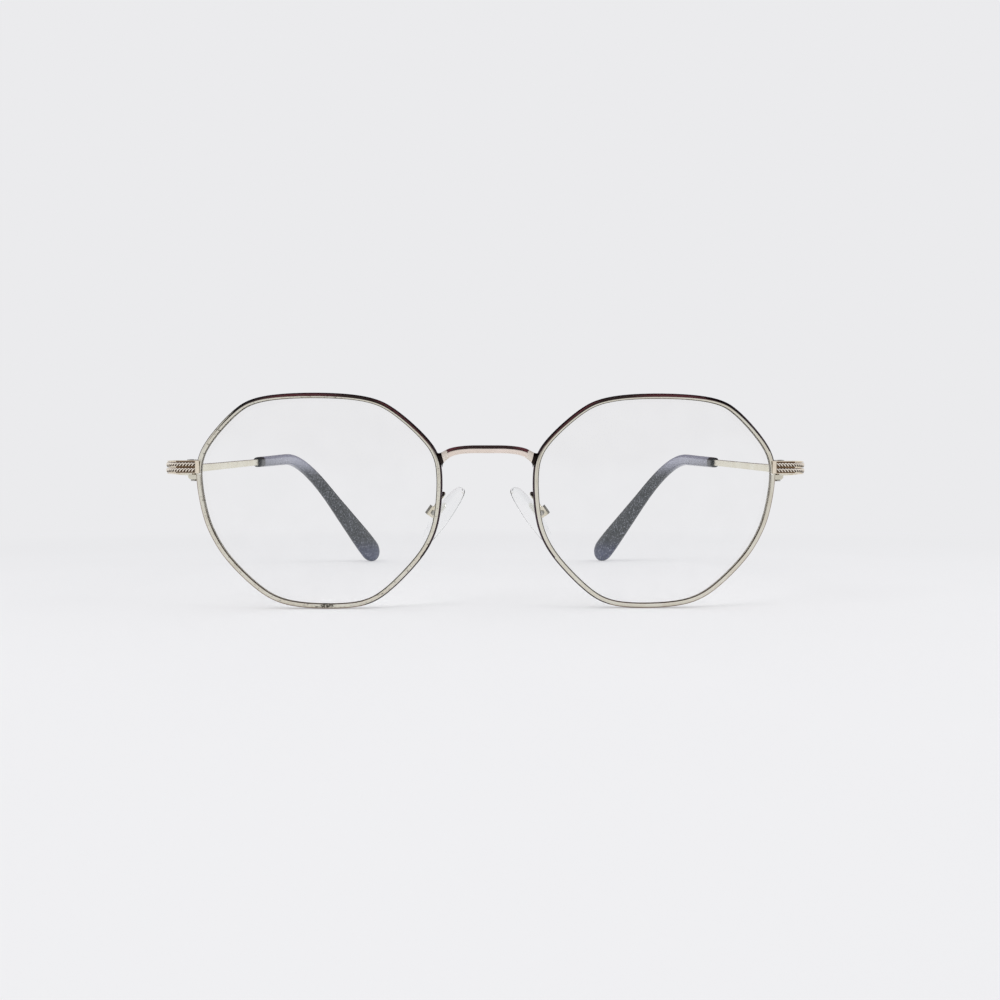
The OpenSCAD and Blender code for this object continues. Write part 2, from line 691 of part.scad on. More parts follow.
module pad_arm() {
  n = len(arm_controls);
  line = [for (i = [1:n - 2], k = [0:2])
    let (a = arm_controls[i - 1], b = arm_controls[i], c = arm_controls[i + 1])
    [curve_point(a, b, c, k / 3), curve_slope(a, b, c, k / 3)]];
  rings = [for (q = concat(line, [[arm_to, arm_to - arm_in]]))
    let (t = unit(q[1]), a = unit(cross(t, [1, 0, 0.2])), b = cross(a, t))
    [for (k = [0:7]) q[0] + arm_d / 2 * (a * cos(45 * k) + b * sin(45 * k))]];
  skin(rings);
}

// Halfway between the lens's front and the ends of the ear tips
front_most = set_back([lens_x, lens_z]) + lens_front;
rear_most = max([for (r = tip_rings(end_z), p = r) p.y]);
middle_y = (front_most + rear_most) / 2;

module left() {
  translate([0, -middle_y, 0]) children();
}
module right() {
  mirror([1, 0, 0]) left() children();
}

module rim_left() { color(GOLD) left() rim(); }
module rim_right() { color(GOLD) right() rim(); }
module lens_left() { color(CLEAR) left() lens(); }
module lens_right() { color(CLEAR) right() lens(); }
module bridge_both() { color(GOLD) left() bridge(); }
module end_piece_left() { color(GOLD) left() end_piece(); }
module end_piece_right() { color(GOLD) right() end_piece(); }
module rope_trim_left() { color(GOLD) left() rope_trim(); }
module rope_trim_right() { color(GOLD) right() rope_trim(); }
module closing_block_left() { color(GOLD) left() closing_block(); }
module closing_block_right() { color(GOLD) right() closing_block(); }
module closing_screw_left() { color(STEEL) left() closing_screw(); }
module closing_screw_right() { color(STEEL) right() closing_screw(); }
module hinge_front_left() { color(GOLD) left() hinge_front(); }
module hinge_front_right() { color(GOLD) right() hinge_front(); }
module hinge_temple_left() { color(GOLD) left() hinge_temple(); }
module hinge_temple_right() { color(GOLD) right() hinge_temple(); }
module hinge_screw_left() { color(STEEL) left() hinge_screw(); }
module hinge_screw_right() { color(STEEL) right() hinge_screw(); }
module temple_bar_left() { color(GOLD) left() temple_bar(); }
module temple_bar_right() { color(GOLD) right() temple_bar(); }
module temple_tip_left() { color(DARK) left() temple_tip(); }
module temple_tip_right() { color(DARK) right() temple_tip(); }
module pad_arm_left() { color(GOLD) left() pad_arm(); }
module pad_arm_right() { color(GOLD) right() pad_arm(); }
module pad_box_left() { color(GOLD) left() pad_box(); }
module pad_box_right() { color(GOLD) right() pad_box(); }
module pad_screw_left() { color(STEEL) left() pad_screw(); }
module pad_screw_right() { color(STEEL) right() pad_screw(); }
module pad_stem_left() { color(STEEL) left() pad_stem(); }
module pad_stem_right() { color(STEEL) right() pad_stem(); }
module nose_pad_left() { color(CLEAR) left() nose_pad(); }
module nose_pad_right() { color(CLEAR) right() nose_pad(); }

rim_right();
rim_left();
lens_right();
lens_left();
bridge_both();  // bridge
end_piece_right();
end_piece_left();
rope_trim_right();
rope_trim_left();
closing_block_right();
closing_block_left();
closing_screw_right();
closing_screw_left();
hinge_front_right();
hinge_front_left();
hinge_temple_right();
hinge_temple_left();
hinge_screw_right();
hinge_screw_left();
temple_bar_right();
temple_bar_left();
temple_tip_right();
temple_tip_left();
pad_arm_right();
pad_arm_left();
pad_box_right();
pad_box_left();
pad_screw_right();
pad_screw_left();
pad_stem_right();
pad_stem_left();
nose_pad_right();
nose_pad_left();
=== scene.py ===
"""Pale gold wire eyeglasses with bowed octagonal rims, standing open on a white table.

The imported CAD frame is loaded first, and every piece is built over it and rides on its
bodies. Lengths are millimetres in the glasses' own axes: X to the wearer's left, Y back
from the rims' front plane, Z up from the table. Datum turns them into the frame's metres.
"""
import json
import logging
from abc import ABC, abstractmethod
from dataclasses import dataclass, field
from enum import Enum
from math import ceil, copysign, cos, floor, pi, radians, sin, sqrt
from typing import Any, Callable, ClassVar, Sequence

import bmesh
import bpy
from mathutils import Matrix, Vector


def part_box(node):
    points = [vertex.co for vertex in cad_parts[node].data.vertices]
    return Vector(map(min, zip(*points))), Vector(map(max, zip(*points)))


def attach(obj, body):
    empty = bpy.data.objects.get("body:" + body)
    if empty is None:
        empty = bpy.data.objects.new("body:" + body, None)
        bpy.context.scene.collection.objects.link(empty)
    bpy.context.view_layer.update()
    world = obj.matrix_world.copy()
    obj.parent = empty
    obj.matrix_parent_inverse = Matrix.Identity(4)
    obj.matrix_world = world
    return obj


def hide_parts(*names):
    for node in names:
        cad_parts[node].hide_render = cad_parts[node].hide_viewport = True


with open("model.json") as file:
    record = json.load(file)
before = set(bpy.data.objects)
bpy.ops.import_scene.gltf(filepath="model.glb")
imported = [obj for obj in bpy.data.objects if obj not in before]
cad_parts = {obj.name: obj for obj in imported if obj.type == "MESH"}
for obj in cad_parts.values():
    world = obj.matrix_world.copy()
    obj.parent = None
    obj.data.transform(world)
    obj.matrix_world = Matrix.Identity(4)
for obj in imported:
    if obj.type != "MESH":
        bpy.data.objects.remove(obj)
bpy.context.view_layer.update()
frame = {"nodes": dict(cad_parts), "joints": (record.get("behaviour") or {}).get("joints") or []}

LOG = logging.getLogger("eyeglasses")
MM = 0.001
# The finishes' noises: how rough they are, their usual detail, and where nearly all of their output lies
NOISE_ROUGHNESS = 0.55
NOISE_DETAIL = 3.0
NOISE_SPAN = (0.3, 0.7)

Point2 = tuple[float, float]
Point3 = tuple[float, float, float]
Ring = list[Vector]
Colour = tuple[float, float, float, float]
Piece = bpy.types.Object
Tree = bpy.types.NodeTree
Socket = bpy.types.NodeSocket
Work = bmesh.types.BMesh


class Side(Enum):
    """Half of the glasses, named from the wearer; the value is the sign of its X."""

    LEFT = 1
    RIGHT = -1

    @property
    def tag(self) -> str:
        """The ending of this side's node and piece names."""
        return self.name.lower()


class Body(Enum):
    """Moving group that a piece rides on, with the ending that its name takes."""

    FRONT = "front"
    TEMPLE = "temple"
    PAD = "pad"

    def name_on(self, side: Side) -> str:
        """The CAD body's name on one side; the front has no side."""
        return self.value if self is Body.FRONT else f"{self.value}_{side.tag}"


# Geometry helpers


@dataclass(frozen=True)
class Datum:
    """Where the rims' front plane lies in the frame's own axes.

    Attributes:
        pin_y: Distance of the hinge pins behind the rims' front plane.
    """

    pin_y: float = 9.5

    @property
    def shift(self) -> float:
        """Distance from the rims' front plane back to the frame's origin."""
        joint = next(j for j in frame["joints"] if j["name"] == "left_temple_fold")
        return self.pin_y - joint["pos_m"][1] / MM

    def to_frame(self, point: Vector, side: Side) -> Vector:
        """Turn a point of the left half into the frame's metres.

        Args:
            point: Point in millimetres on the glasses' left half.
            side: Half that the point is wanted on.

        Returns:
            The point in metres, mirrored for the right half.
        """
        return Vector((side.value * point.x, point.y - self.shift, point.z)) * MM

    def from_frame(self, point: Sequence[float]) -> Vector:
        """Turn a point of the frame, in metres, into millimetres from the rims' front plane."""
        return Vector((point[0] / MM, point[1] / MM + self.shift, point[2] / MM))


DATUM = Datum()


def node_box(node: str) -> tuple[Vector, Vector]:
    """The lowest and highest corner of a CAD node in millimetres from the rims' front plane."""
    low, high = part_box(node)
    return DATUM.from_frame(low), DATUM.from_frame(high)


def superellipse(width: float, height: float, count: int) -> list[Point2]:
    """Points round an oval that is squarer than an ellipse.

    Args:
        width: Full width.
        height: Full height.
        count: Number of points.

    Returns:
        The points as (across, up), anticlockwise.
    """
    # 1 gives an ellipse, and less a squarer oval
    power = 0.75
    turns = [2 * pi * (k + 0.5) / count for k in range(count)]
    return [(width / 2 * copysign(abs(cos(a)) ** power, cos(a)),
             height / 2 * copysign(abs(sin(a)) ** power, sin(a))) for a in turns]


def rounded_box(width: float, height: float, radius: float, arc: int) -> list[Point2]:
    """Points round a rectangle whose corners are rounded.

    Args:
        width: Full width.
        height: Full height.
        radius: Radius of the corners.
        arc: Steps in each corner.

    Returns:
        The points as (across, up), anticlockwise.
    """
    points = []
    for quarter, (sx, sy) in enumerate(((1, 1), (-1, 1), (-1, -1), (1, -1))):
        centre = (sx * (width / 2 - radius), sy * (height / 2 - radius))
        for k in range(arc + 1):
            angle = (quarter + k / arc) * pi / 2
            points.append((centre[0] + radius * cos(angle), centre[1] + radius * sin(angle)))
    return points


def spline_point(a: Vector, b: Vector, c: Vector, t: float) -> Vector:
    """Point of the quadratic curve that the three controls give, from t 0 to 1."""
    return 0.5 * (1 - t) ** 2 * a + (0.5 + t - t * t) * b + 0.5 * t * t * c


def spline_slope(a: Vector, b: Vector, c: Vector, t: float) -> Vector:
    """Direction of the same curve at t, not of unit length."""
    return (t - 1) * a + (1 - 2 * t) * b + t * c


def along_spline(count: int, steps: int) -> list[tuple[int, float]]:
    """Places along the curve of a row of controls, from its start to its end.

    Args:
        count: Number of controls.
        steps: Steps in each stretch, which takes three of them.

    Returns:
        Pairs of a stretch's first control and t along that stretch.
    """
    places = [(i, k / steps) for i in range(count - 2) for k in range(steps)]
    return places + [(count - 3, 1.0)]


def blend_table(x: float, table: Sequence[Point2], reach: float = 0.0) -> float:
    """Value of a table at x, with straight stretches whose kinks are eased.

    Args:
        x: Where the value is wanted.
        table: Pairs of place and value, in rising order.
        reach: Distance each way over which a kink is eased.

    Returns:
        The mean of the table's values over that reach.
    """
    def at(place: float) -> float:
        """The table's own value at a place.

        Args:
            place: Where the value is wanted.

        Returns:
            The value, held level past both ends.
        """
        if place <= table[0][0]:
            return table[0][1]
        for (x0, y0), (x1, y1) in zip(table, table[1:]):
            if place <= x1:
                return y0 + (y1 - y0) * (place - x0) / (x1 - x0)
        return table[-1][1]

    if reach <= 0:
        return at(x)
    return sum(at(x + reach * k / 4) for k in range(-4, 5)) / 9


def make_object(name: str, work: Work, sharp: float = 40.0) -> Piece:
    """Turn a bmesh into a linked object with smooth shading and crisp edges.

    Args:
        name: Name of the piece.
        work: The mesh, which is freed.
        sharp: Angle in degrees past which an edge stays crisp.

    Returns:
        The new object.
    """
    bmesh.ops.recalc_face_normals(work, faces=work.faces)
    mesh = bpy.data.meshes.new(name)
    work.to_mesh(mesh)
    work.free()
    if "custom_normal" in mesh.attributes:
        mesh.attributes.remove(mesh.attributes["custom_normal"])
    mesh.shade_smooth()
    mesh.set_sharp_from_angle(angle=radians(sharp))
    piece = bpy.data.objects.new(name, mesh)
    bpy.context.scene.collection.objects.link(piece)
    return piece


def add_loft(work: Work, rings: Sequence[Ring], side: Side) -> list[bmesh.types.BMFace]:
    """Add a skin through rings that have the same number of points, with a cap at each end.

    Args:
        work: Mesh that takes the skin.
        rings: Rings in millimetres on the left half.
        side: Half that the skin is wanted on.

    Returns:
        The skin's faces, ring by ring, and the two caps last.
    """
    rows = [[work.verts.new(DATUM.to_frame(p, side)) for p in ring] for ring in rings]
    count = len(rows[0])
    faces = []
    for low, high in zip(rows, rows[1:]):
        for k in range(count):
            n = (k + 1) % count
            faces.append(work.faces.new((low[k], low[n], high[n], high[k])))
    return faces + [work.faces.new(rows[0]), work.faces.new(rows[-1])]


def loft(name: str, rings: Sequence[Ring], side: Side, sharp: float = 40.0) -> Piece:
    """Build one piece as a single skin.

    Args:
        name: Name of the piece.
        rings: Rings in millimetres on the left half.
        side: Half that the piece is wanted on.
        sharp: Angle in degrees past which an edge stays crisp.

    Returns:
        The new object.
    """
    work = bmesh.new()
    add_loft(work, rings, side)
    return make_object(name, work, sharp)


def tube_rings(line: Sequence[tuple[Vector, Vector]], radius: float) -> list[Ring]:
    """Circles set square to a line.

    Args:
        line: Points of the line with their directions.
        radius: Radius of the circles.

    Returns:
        One ring for each point.
    """
    rings, sides = [], 14
    across = None
    for point, way in line:
        way = way.normalized()
        if across is None:
            across = way.cross(Vector((1, 0, 0.2))).normalized()
        across = (across - way * across.dot(way)).normalized()
        up = across.cross(way)
        angles = [2 * pi * k / sides for k in range(sides)]
        rings.append([point + radius * (cos(a) * across + sin(a) * up) for a in angles])
    return rings


def machined_copy(node: str, name: str, edge: float) -> Piece:
    """Copy a CAD node's shape with its sharp edges broken, as tumbling leaves them.

    Args:
        node: Name of the CAD node.
        name: Name of the new piece.
        edge: Width of the broken edge.

    Returns:
        The new object.
    """
    sharp = 30.0
    work = bmesh.new()
    work.from_mesh(frame["nodes"][node].data)
    bmesh.ops.remove_doubles(work, verts=work.verts, dist=1e-7)
    bmesh.ops.dissolve_limit(work, angle_limit=radians(1), verts=work.verts, edges=work.edges)
    crisp = [e for e in work.edges if e.is_manifold and e.calc_face_angle(0.0) > radians(sharp)]
    bmesh.ops.bevel(work, geom=crisp, offset=edge * MM, segments=2, profile=0.5, affect="EDGES",
                    clamp_overlap=True)
    piece = make_object(name, work, sharp)
    # Flat faces keep one normal each, so polished metal doesn't show false folds in them
    piece.modifiers.new("flat_faces", "WEIGHTED_NORMAL").keep_sharp = True
    return piece


# Finishes


def srgb(code: str) -> Colour:
    """Turn an sRGB hex colour such as d9cfb4 into linear red, green, blue and alpha.

    Args:
        code: The colour's six hex digits.

    Returns:
        The linear colour.
    """
    parts = [int(code[k:k + 2], 16) / 255 for k in (0, 2, 4)]
    linear = [c / 12.92 if c <= 0.04045 else ((c + 0.055) / 1.055) ** 2.4 for c in parts]
    return (*linear, 1.0)


def add_node(tree: Tree, kind: str, settings: dict[str, Any] | None = None,
             inputs: dict[str | int, Any] | None = None,
             stops: Sequence[tuple[float, Colour]] = ()) -> bpy.types.Node:
    """Add one shader node with its settings, values and links.

    Args:
        tree: Tree that takes the node.
        kind: The node's type name.
        settings: Attributes of the node.
        inputs: Values or output sockets for the node's inputs, by name or number.
        stops: Places and colours along the node's ramp, in rising order.

    Returns:
        The new node.
    """
    node = tree.nodes.new(kind)
    for key, value in (settings or {}).items():
        setattr(node, key, value)
    for key, value in (inputs or {}).items():
        if isinstance(value, Socket):
            tree.links.new(value, node.inputs[key])
        else:
            node.inputs[key].default_value = value
    if stops:
        marks = node.color_ramp.elements
        for mark, (place, colour) in zip((marks[0], marks[1]), (stops[0], stops[-1])):
            mark.position, mark.color = place, colour
        for place, colour in stops[1:-1]:
            marks.new(place).color = colour
    return node


def empty_tree(owner: bpy.types.Material | bpy.types.World) -> Tree:
    """Turn on the nodes of a material or a world, with none in them yet.

    Args:
        owner: The material or the world.

    Returns:
        Its node tree.
    """
    owner.use_nodes = True
    owner.node_tree.nodes.clear()
    return owner.node_tree


@dataclass(frozen=True)
class Finish(ABC):
    """A real material with the way its surface was made; its colour drifts between two tones.

    Attributes:
        patch: Size in millimetres of the patches in which the colour drifts.
        detail: How many finer scales those patches hold.
        blend: Part of the noise over which one tone turns into the other.
        name: The material's name, for what it is and how it was made.
        slot: The record's material slot that it finishes; not used.
        roughness: Middle of the roughness.
        spread: How far the roughness varies each way.
        mottle: Size in millimetres of the patches that vary the roughness.
        relief: Height in millimetres of the surface's relief.
        grain: Size in millimetres of that relief.
        tone: Its main colour.
        drift: The colour that it drifts to.
    """

    patch: ClassVar[float]
    detail: ClassVar[float] = NOISE_DETAIL
    blend: ClassVar[Point2] = (0.35, 0.65)

    name: str
    slot: str
    roughness: float
    spread: float
    mottle: float
    relief: float
    grain: float
    tone: str
    drift: str

    def colour(self, tree: Tree, place: Socket) -> Socket:
        """Add the nodes that give the surface its colour.

        Args:
            tree: The material's nodes.
            place: Output that gives the place on the object in metres.

        Returns:
            The colour's output.
        """
        patches = add_node(tree, "ShaderNodeTexNoise", None, {
            "Vector": place, "Scale": 1 / (self.patch * MM), "Detail": self.detail,
            "Roughness": NOISE_ROUGHNESS})
        tones = (srgb(self.tone), srgb(self.drift))
        drift = add_node(tree, "ShaderNodeValToRGB", None, {"Fac": patches.outputs["Fac"]},
                         list(zip(self.blend, tones)))
        return drift.outputs["Color"]

    @abstractmethod
    def shader_values(self) -> dict[str, Any]:
        """Values that are the same all over, by the shader's own socket names."""

    def build(self) -> bpy.types.Material:
        """Make the material, or return it where it already exists.

        Returns:
            The material.
        """
        made = bpy.data.materials.get(self.name)
        if made:
            return made
        material = bpy.data.materials.new(self.name)
        tree = empty_tree(material)
        place = add_node(tree, "ShaderNodeTexCoord").outputs["Object"]
        mottle, grain = (add_node(tree, "ShaderNodeTexNoise", None, {
            "Vector": place, "Scale": 1 / (size * MM), "Detail": NOISE_DETAIL,
            "Roughness": NOISE_ROUGHNESS}) for size in (self.mottle, self.grain))
        rough = add_node(tree, "ShaderNodeMapRange", None, {
            "Value": mottle.outputs["Fac"], "From Min": NOISE_SPAN[0], "From Max": NOISE_SPAN[1],
            "To Min": self.roughness - self.spread, "To Max": self.roughness + self.spread})
        bump = add_node(tree, "ShaderNodeBump", None, {
            "Height": grain.outputs["Fac"], "Strength": 1.0, "Distance": self.relief * MM})
        shader = add_node(tree, "ShaderNodeBsdfPrincipled", None, {
            "Base Color": self.colour(tree, place), "Roughness": rough.outputs["Result"],
            "Normal": bump.outputs["Normal"], **self.shader_values()})
        add_node(tree, "ShaderNodeOutputMaterial", None, {"Surface": shader.outputs["BSDF"]})
        return material


@dataclass(frozen=True)
class PlatedMetal(Finish):
    """Plated metal, polished; its darker copies are painted shade or painted dark reflection; thin plate
    shifts its tint.
    """

    patch: ClassVar[float] = 4.0

    def shader_values(self) -> dict[str, Any]:
        """All metal."""
        return {"Metallic": 1.0}


@dataclass(frozen=True)
class PaintedHighlightMetal(PlatedMetal):
    """The same plate, half matt and pale: a painted highlight where polished metal would mirror the dark
    room.
    """

    def shader_values(self) -> dict[str, Any]:
        """Part metal, part scatter."""
        return {"Metallic": 0.45}


@dataclass(frozen=True)
class WornMetal(PlatedMetal):
    """The same plate with one spot where it has rubbed through to the dark alloy.

    Attributes:
        flat: How much distance counts on each axis, so that the spot is wider than it is high.
        drawn: How close the scratches lie on each axis: less so along the wire, where they are long.
        scratch: Size in millimetres of the scratches, about a pixel of the picture.
        pull: How much the spot's middle adds to the scratches' noise.
        wear: Levels of that sum at which the wear starts and is full.
        worn: Share of the alloy's colour at full wear.
        spot: Middle of the spot in millimetres from the rims' front plane.
        reach: How far from that middle the wear goes.
        bare: Colour of the tarnished alloy.
    """

    flat: ClassVar[Point3] = (1, 1, 3.2)
    drawn: ClassVar[Point3] = (0.6, 1, 1)
    scratch: ClassVar[float] = 0.28
    pull: ClassVar[float] = 0.42
    wear: ClassVar[Point2] = (0.6, 0.82)
    worn: ClassVar[float] = 0.92

    spot: Point3
    reach: float
    bare: str

    def colour(self, tree: Tree, place: Socket) -> Socket:
        """Break the plate's tint by fine dark flecks that thin out away from the spot.

        Args:
            tree: The material's nodes.
            place: Output that gives the place on the object in metres.

        Returns:
            The colour's output.
        """
        plate = super().colour(tree, place)
        middle = DATUM.to_frame(Vector(self.spot), Side.LEFT)
        off = add_node(tree, "ShaderNodeVectorMath", {"operation": "SUBTRACT"}, {0: place, 1: middle})
        oval = add_node(tree, "ShaderNodeVectorMath", {"operation": "MULTIPLY"}, {
            0: off.outputs[0], 1: self.flat})
        away = add_node(tree, "ShaderNodeVectorMath", {"operation": "LENGTH"}, {0: oval.outputs[0]})
        near = add_node(tree, "ShaderNodeMapRange", None, {
            "Value": away.outputs["Value"], "From Min": 0.0, "From Max": self.reach * MM,
            "To Min": self.pull, "To Max": 0.0})
        grid = add_node(tree, "ShaderNodeVectorMath", {"operation": "MULTIPLY"}, {0: place, 1: self.drawn})
        scratches = add_node(tree, "ShaderNodeTexNoise", None, {
            "Vector": grid.outputs["Vector"], "Scale": 1 / (self.scratch * MM), "Detail": 1.0,
            "Roughness": NOISE_ROUGHNESS})
        level = add_node(tree, "ShaderNodeMath", {"operation": "ADD"}, {
            0: near.outputs["Result"], 1: scratches.outputs["Fac"]})
        low, high = self.wear
        rubbed = add_node(tree, "ShaderNodeMapRange", None, {
            "Value": level.outputs[0], "From Min": low, "From Max": high,
            "To Min": 0.0, "To Max": self.worn})
        return add_node(tree, "ShaderNodeMix", {"data_type": "RGBA"}, {
            "Factor": rubbed.outputs["Result"], 6: plate, 7: srgb(self.bare)}).outputs[2]


@dataclass(frozen=True)
class Acetate(Finish):
    """Cellulose acetate, milled and polished over a wire core; the second tone is its clouds.

    Attributes:
        reflection_z: Heights in millimetres at which the level stretch's painted reflection starts and is
            full.
        tail_z: The same heights for the paddle's end.
        stretch_share: How much of those two colours shows.
        fleck_span: Values of the flecks' noise at which a fleck starts and is full.
        fleck_share: How much of the flecks' colour shows.
        dark_end_soft: Half the length in millimetres over which the front end's painted dark reflection
            fades.
        level: Paler colour of the level stretch in front of the ear, a painted reflection of the pale ground.
        tail: Bluer colour of the paddle's end.
        speck: Colour of the fine flecks in it.
        fleck: Size in millimetres of the flecks.
        end: Colour of the front end, a painted dark reflection of its obliquely seen face.
        end_y: Where that end stops, in millimetres behind the rims' front plane.
    """

    patch: ClassVar[float] = 7.0
    detail: ClassVar[float] = 2.0
    blend: ClassVar[Point2] = (0.4, 0.7)
    reflection_z: ClassVar[Point2] = (31, 37)
    tail_z: ClassVar[Point2] = (9.5, 2)
    stretch_share: ClassVar[float] = 0.85
    fleck_span: ClassVar[Point2] = (0.56, 0.7)
    fleck_share: ClassVar[float] = 0.5
    dark_end_soft: ClassVar[float] = 0.6

    level: str
    tail: str
    speck: str
    fleck: float
    end: str
    end_y: float

    def colour(self, tree: Tree, place: Socket) -> Socket:
        """Lay soft clouds and fine flecks in a sheet whose tone changes along the tip, with a painted
        reflection on the level stretch and a painted dark reflection on the front end.

        Args:
            tree: The material's nodes.
            place: Output that gives the place on the object in metres.

        Returns:
            The colour's output.
        """
        tone = super().colour(tree, place)
        axes = add_node(tree, "ShaderNodeSeparateXYZ", None, {"Vector": place})
        fleck = add_node(tree, "ShaderNodeTexNoise", None, {
            "Vector": place, "Scale": 1 / (self.fleck * MM), "Detail": 1.0, "Roughness": NOISE_ROUGHNESS})
        along, up, flecks = axes.outputs["Y"], axes.outputs["Z"], fleck.outputs["Fac"]
        stop = DATUM.to_frame(Vector((0, self.end_y, 0)), Side.LEFT).y / MM
        reflection_z, tail_z, stop_y = ([place_mm * MM for place_mm in pair] for pair in (
            self.reflection_z, self.tail_z, (stop + self.dark_end_soft, stop - self.dark_end_soft)))
        # Each layer: its colour, what it goes by, where it starts and is full, and how much of it shows
        # The level stretch's paler colour is a painted reflection; the front end's near black is a painted
        # dark reflection
        layers = ((self.level, up, reflection_z, self.stretch_share, "SMOOTHSTEP"),
                  (self.tail, up, tail_z, self.stretch_share, "SMOOTHSTEP"),
                  (self.speck, flecks, self.fleck_span, self.fleck_share, "LINEAR"),
                  (self.end, along, stop_y, 1.0, "SMOOTHSTEP"))
        for shade, value, (start, full), most, easing in layers:
            share = add_node(tree, "ShaderNodeMapRange", {"interpolation_type": easing}, {
                "Value": value, "From Min": start, "From Max": full, "To Min": 0.0, "To Max": most})
            tone = add_node(tree, "ShaderNodeMix", {"data_type": "RGBA"}, {
                "Factor": share.outputs["Result"], 6: tone, 7: srgb(shade)}).outputs[2]
        return tone

    def shader_values(self) -> dict[str, Any]:
        """A clear polished skin over the coloured sheet."""
        return {"IOR": 1.48, "Coat Weight": 0.25, "Coat Roughness": 0.15, "Coat IOR": 1.45}


@dataclass(frozen=True)
class ClearPlastic(Finish):
    """Clear plastic that light passes through; its second tone is a haze that shows only on white.

    Attributes:
        glint: Colour of its reflection, below white where a coat takes part of it away.
        ior: Refractive index.
    """

    patch: ClassVar[float] = 6.0

    glint: str
    ior: float

    def shader_values(self) -> dict[str, Any]:
        """Clear, with its own refraction."""
        return {"IOR": self.ior, "Transmission Weight": 1.0, "Specular Tint": srgb(self.glint)}


@dataclass(frozen=True)
class GroundPlastic(Finish):
    """Clear plastic ground matt, which scatters light as a pale solid does."""

    patch: ClassVar[float] = 2.0

    def shader_values(self) -> dict[str, Any]:
        """Resin's own refraction."""
        return {"IOR": 1.5}


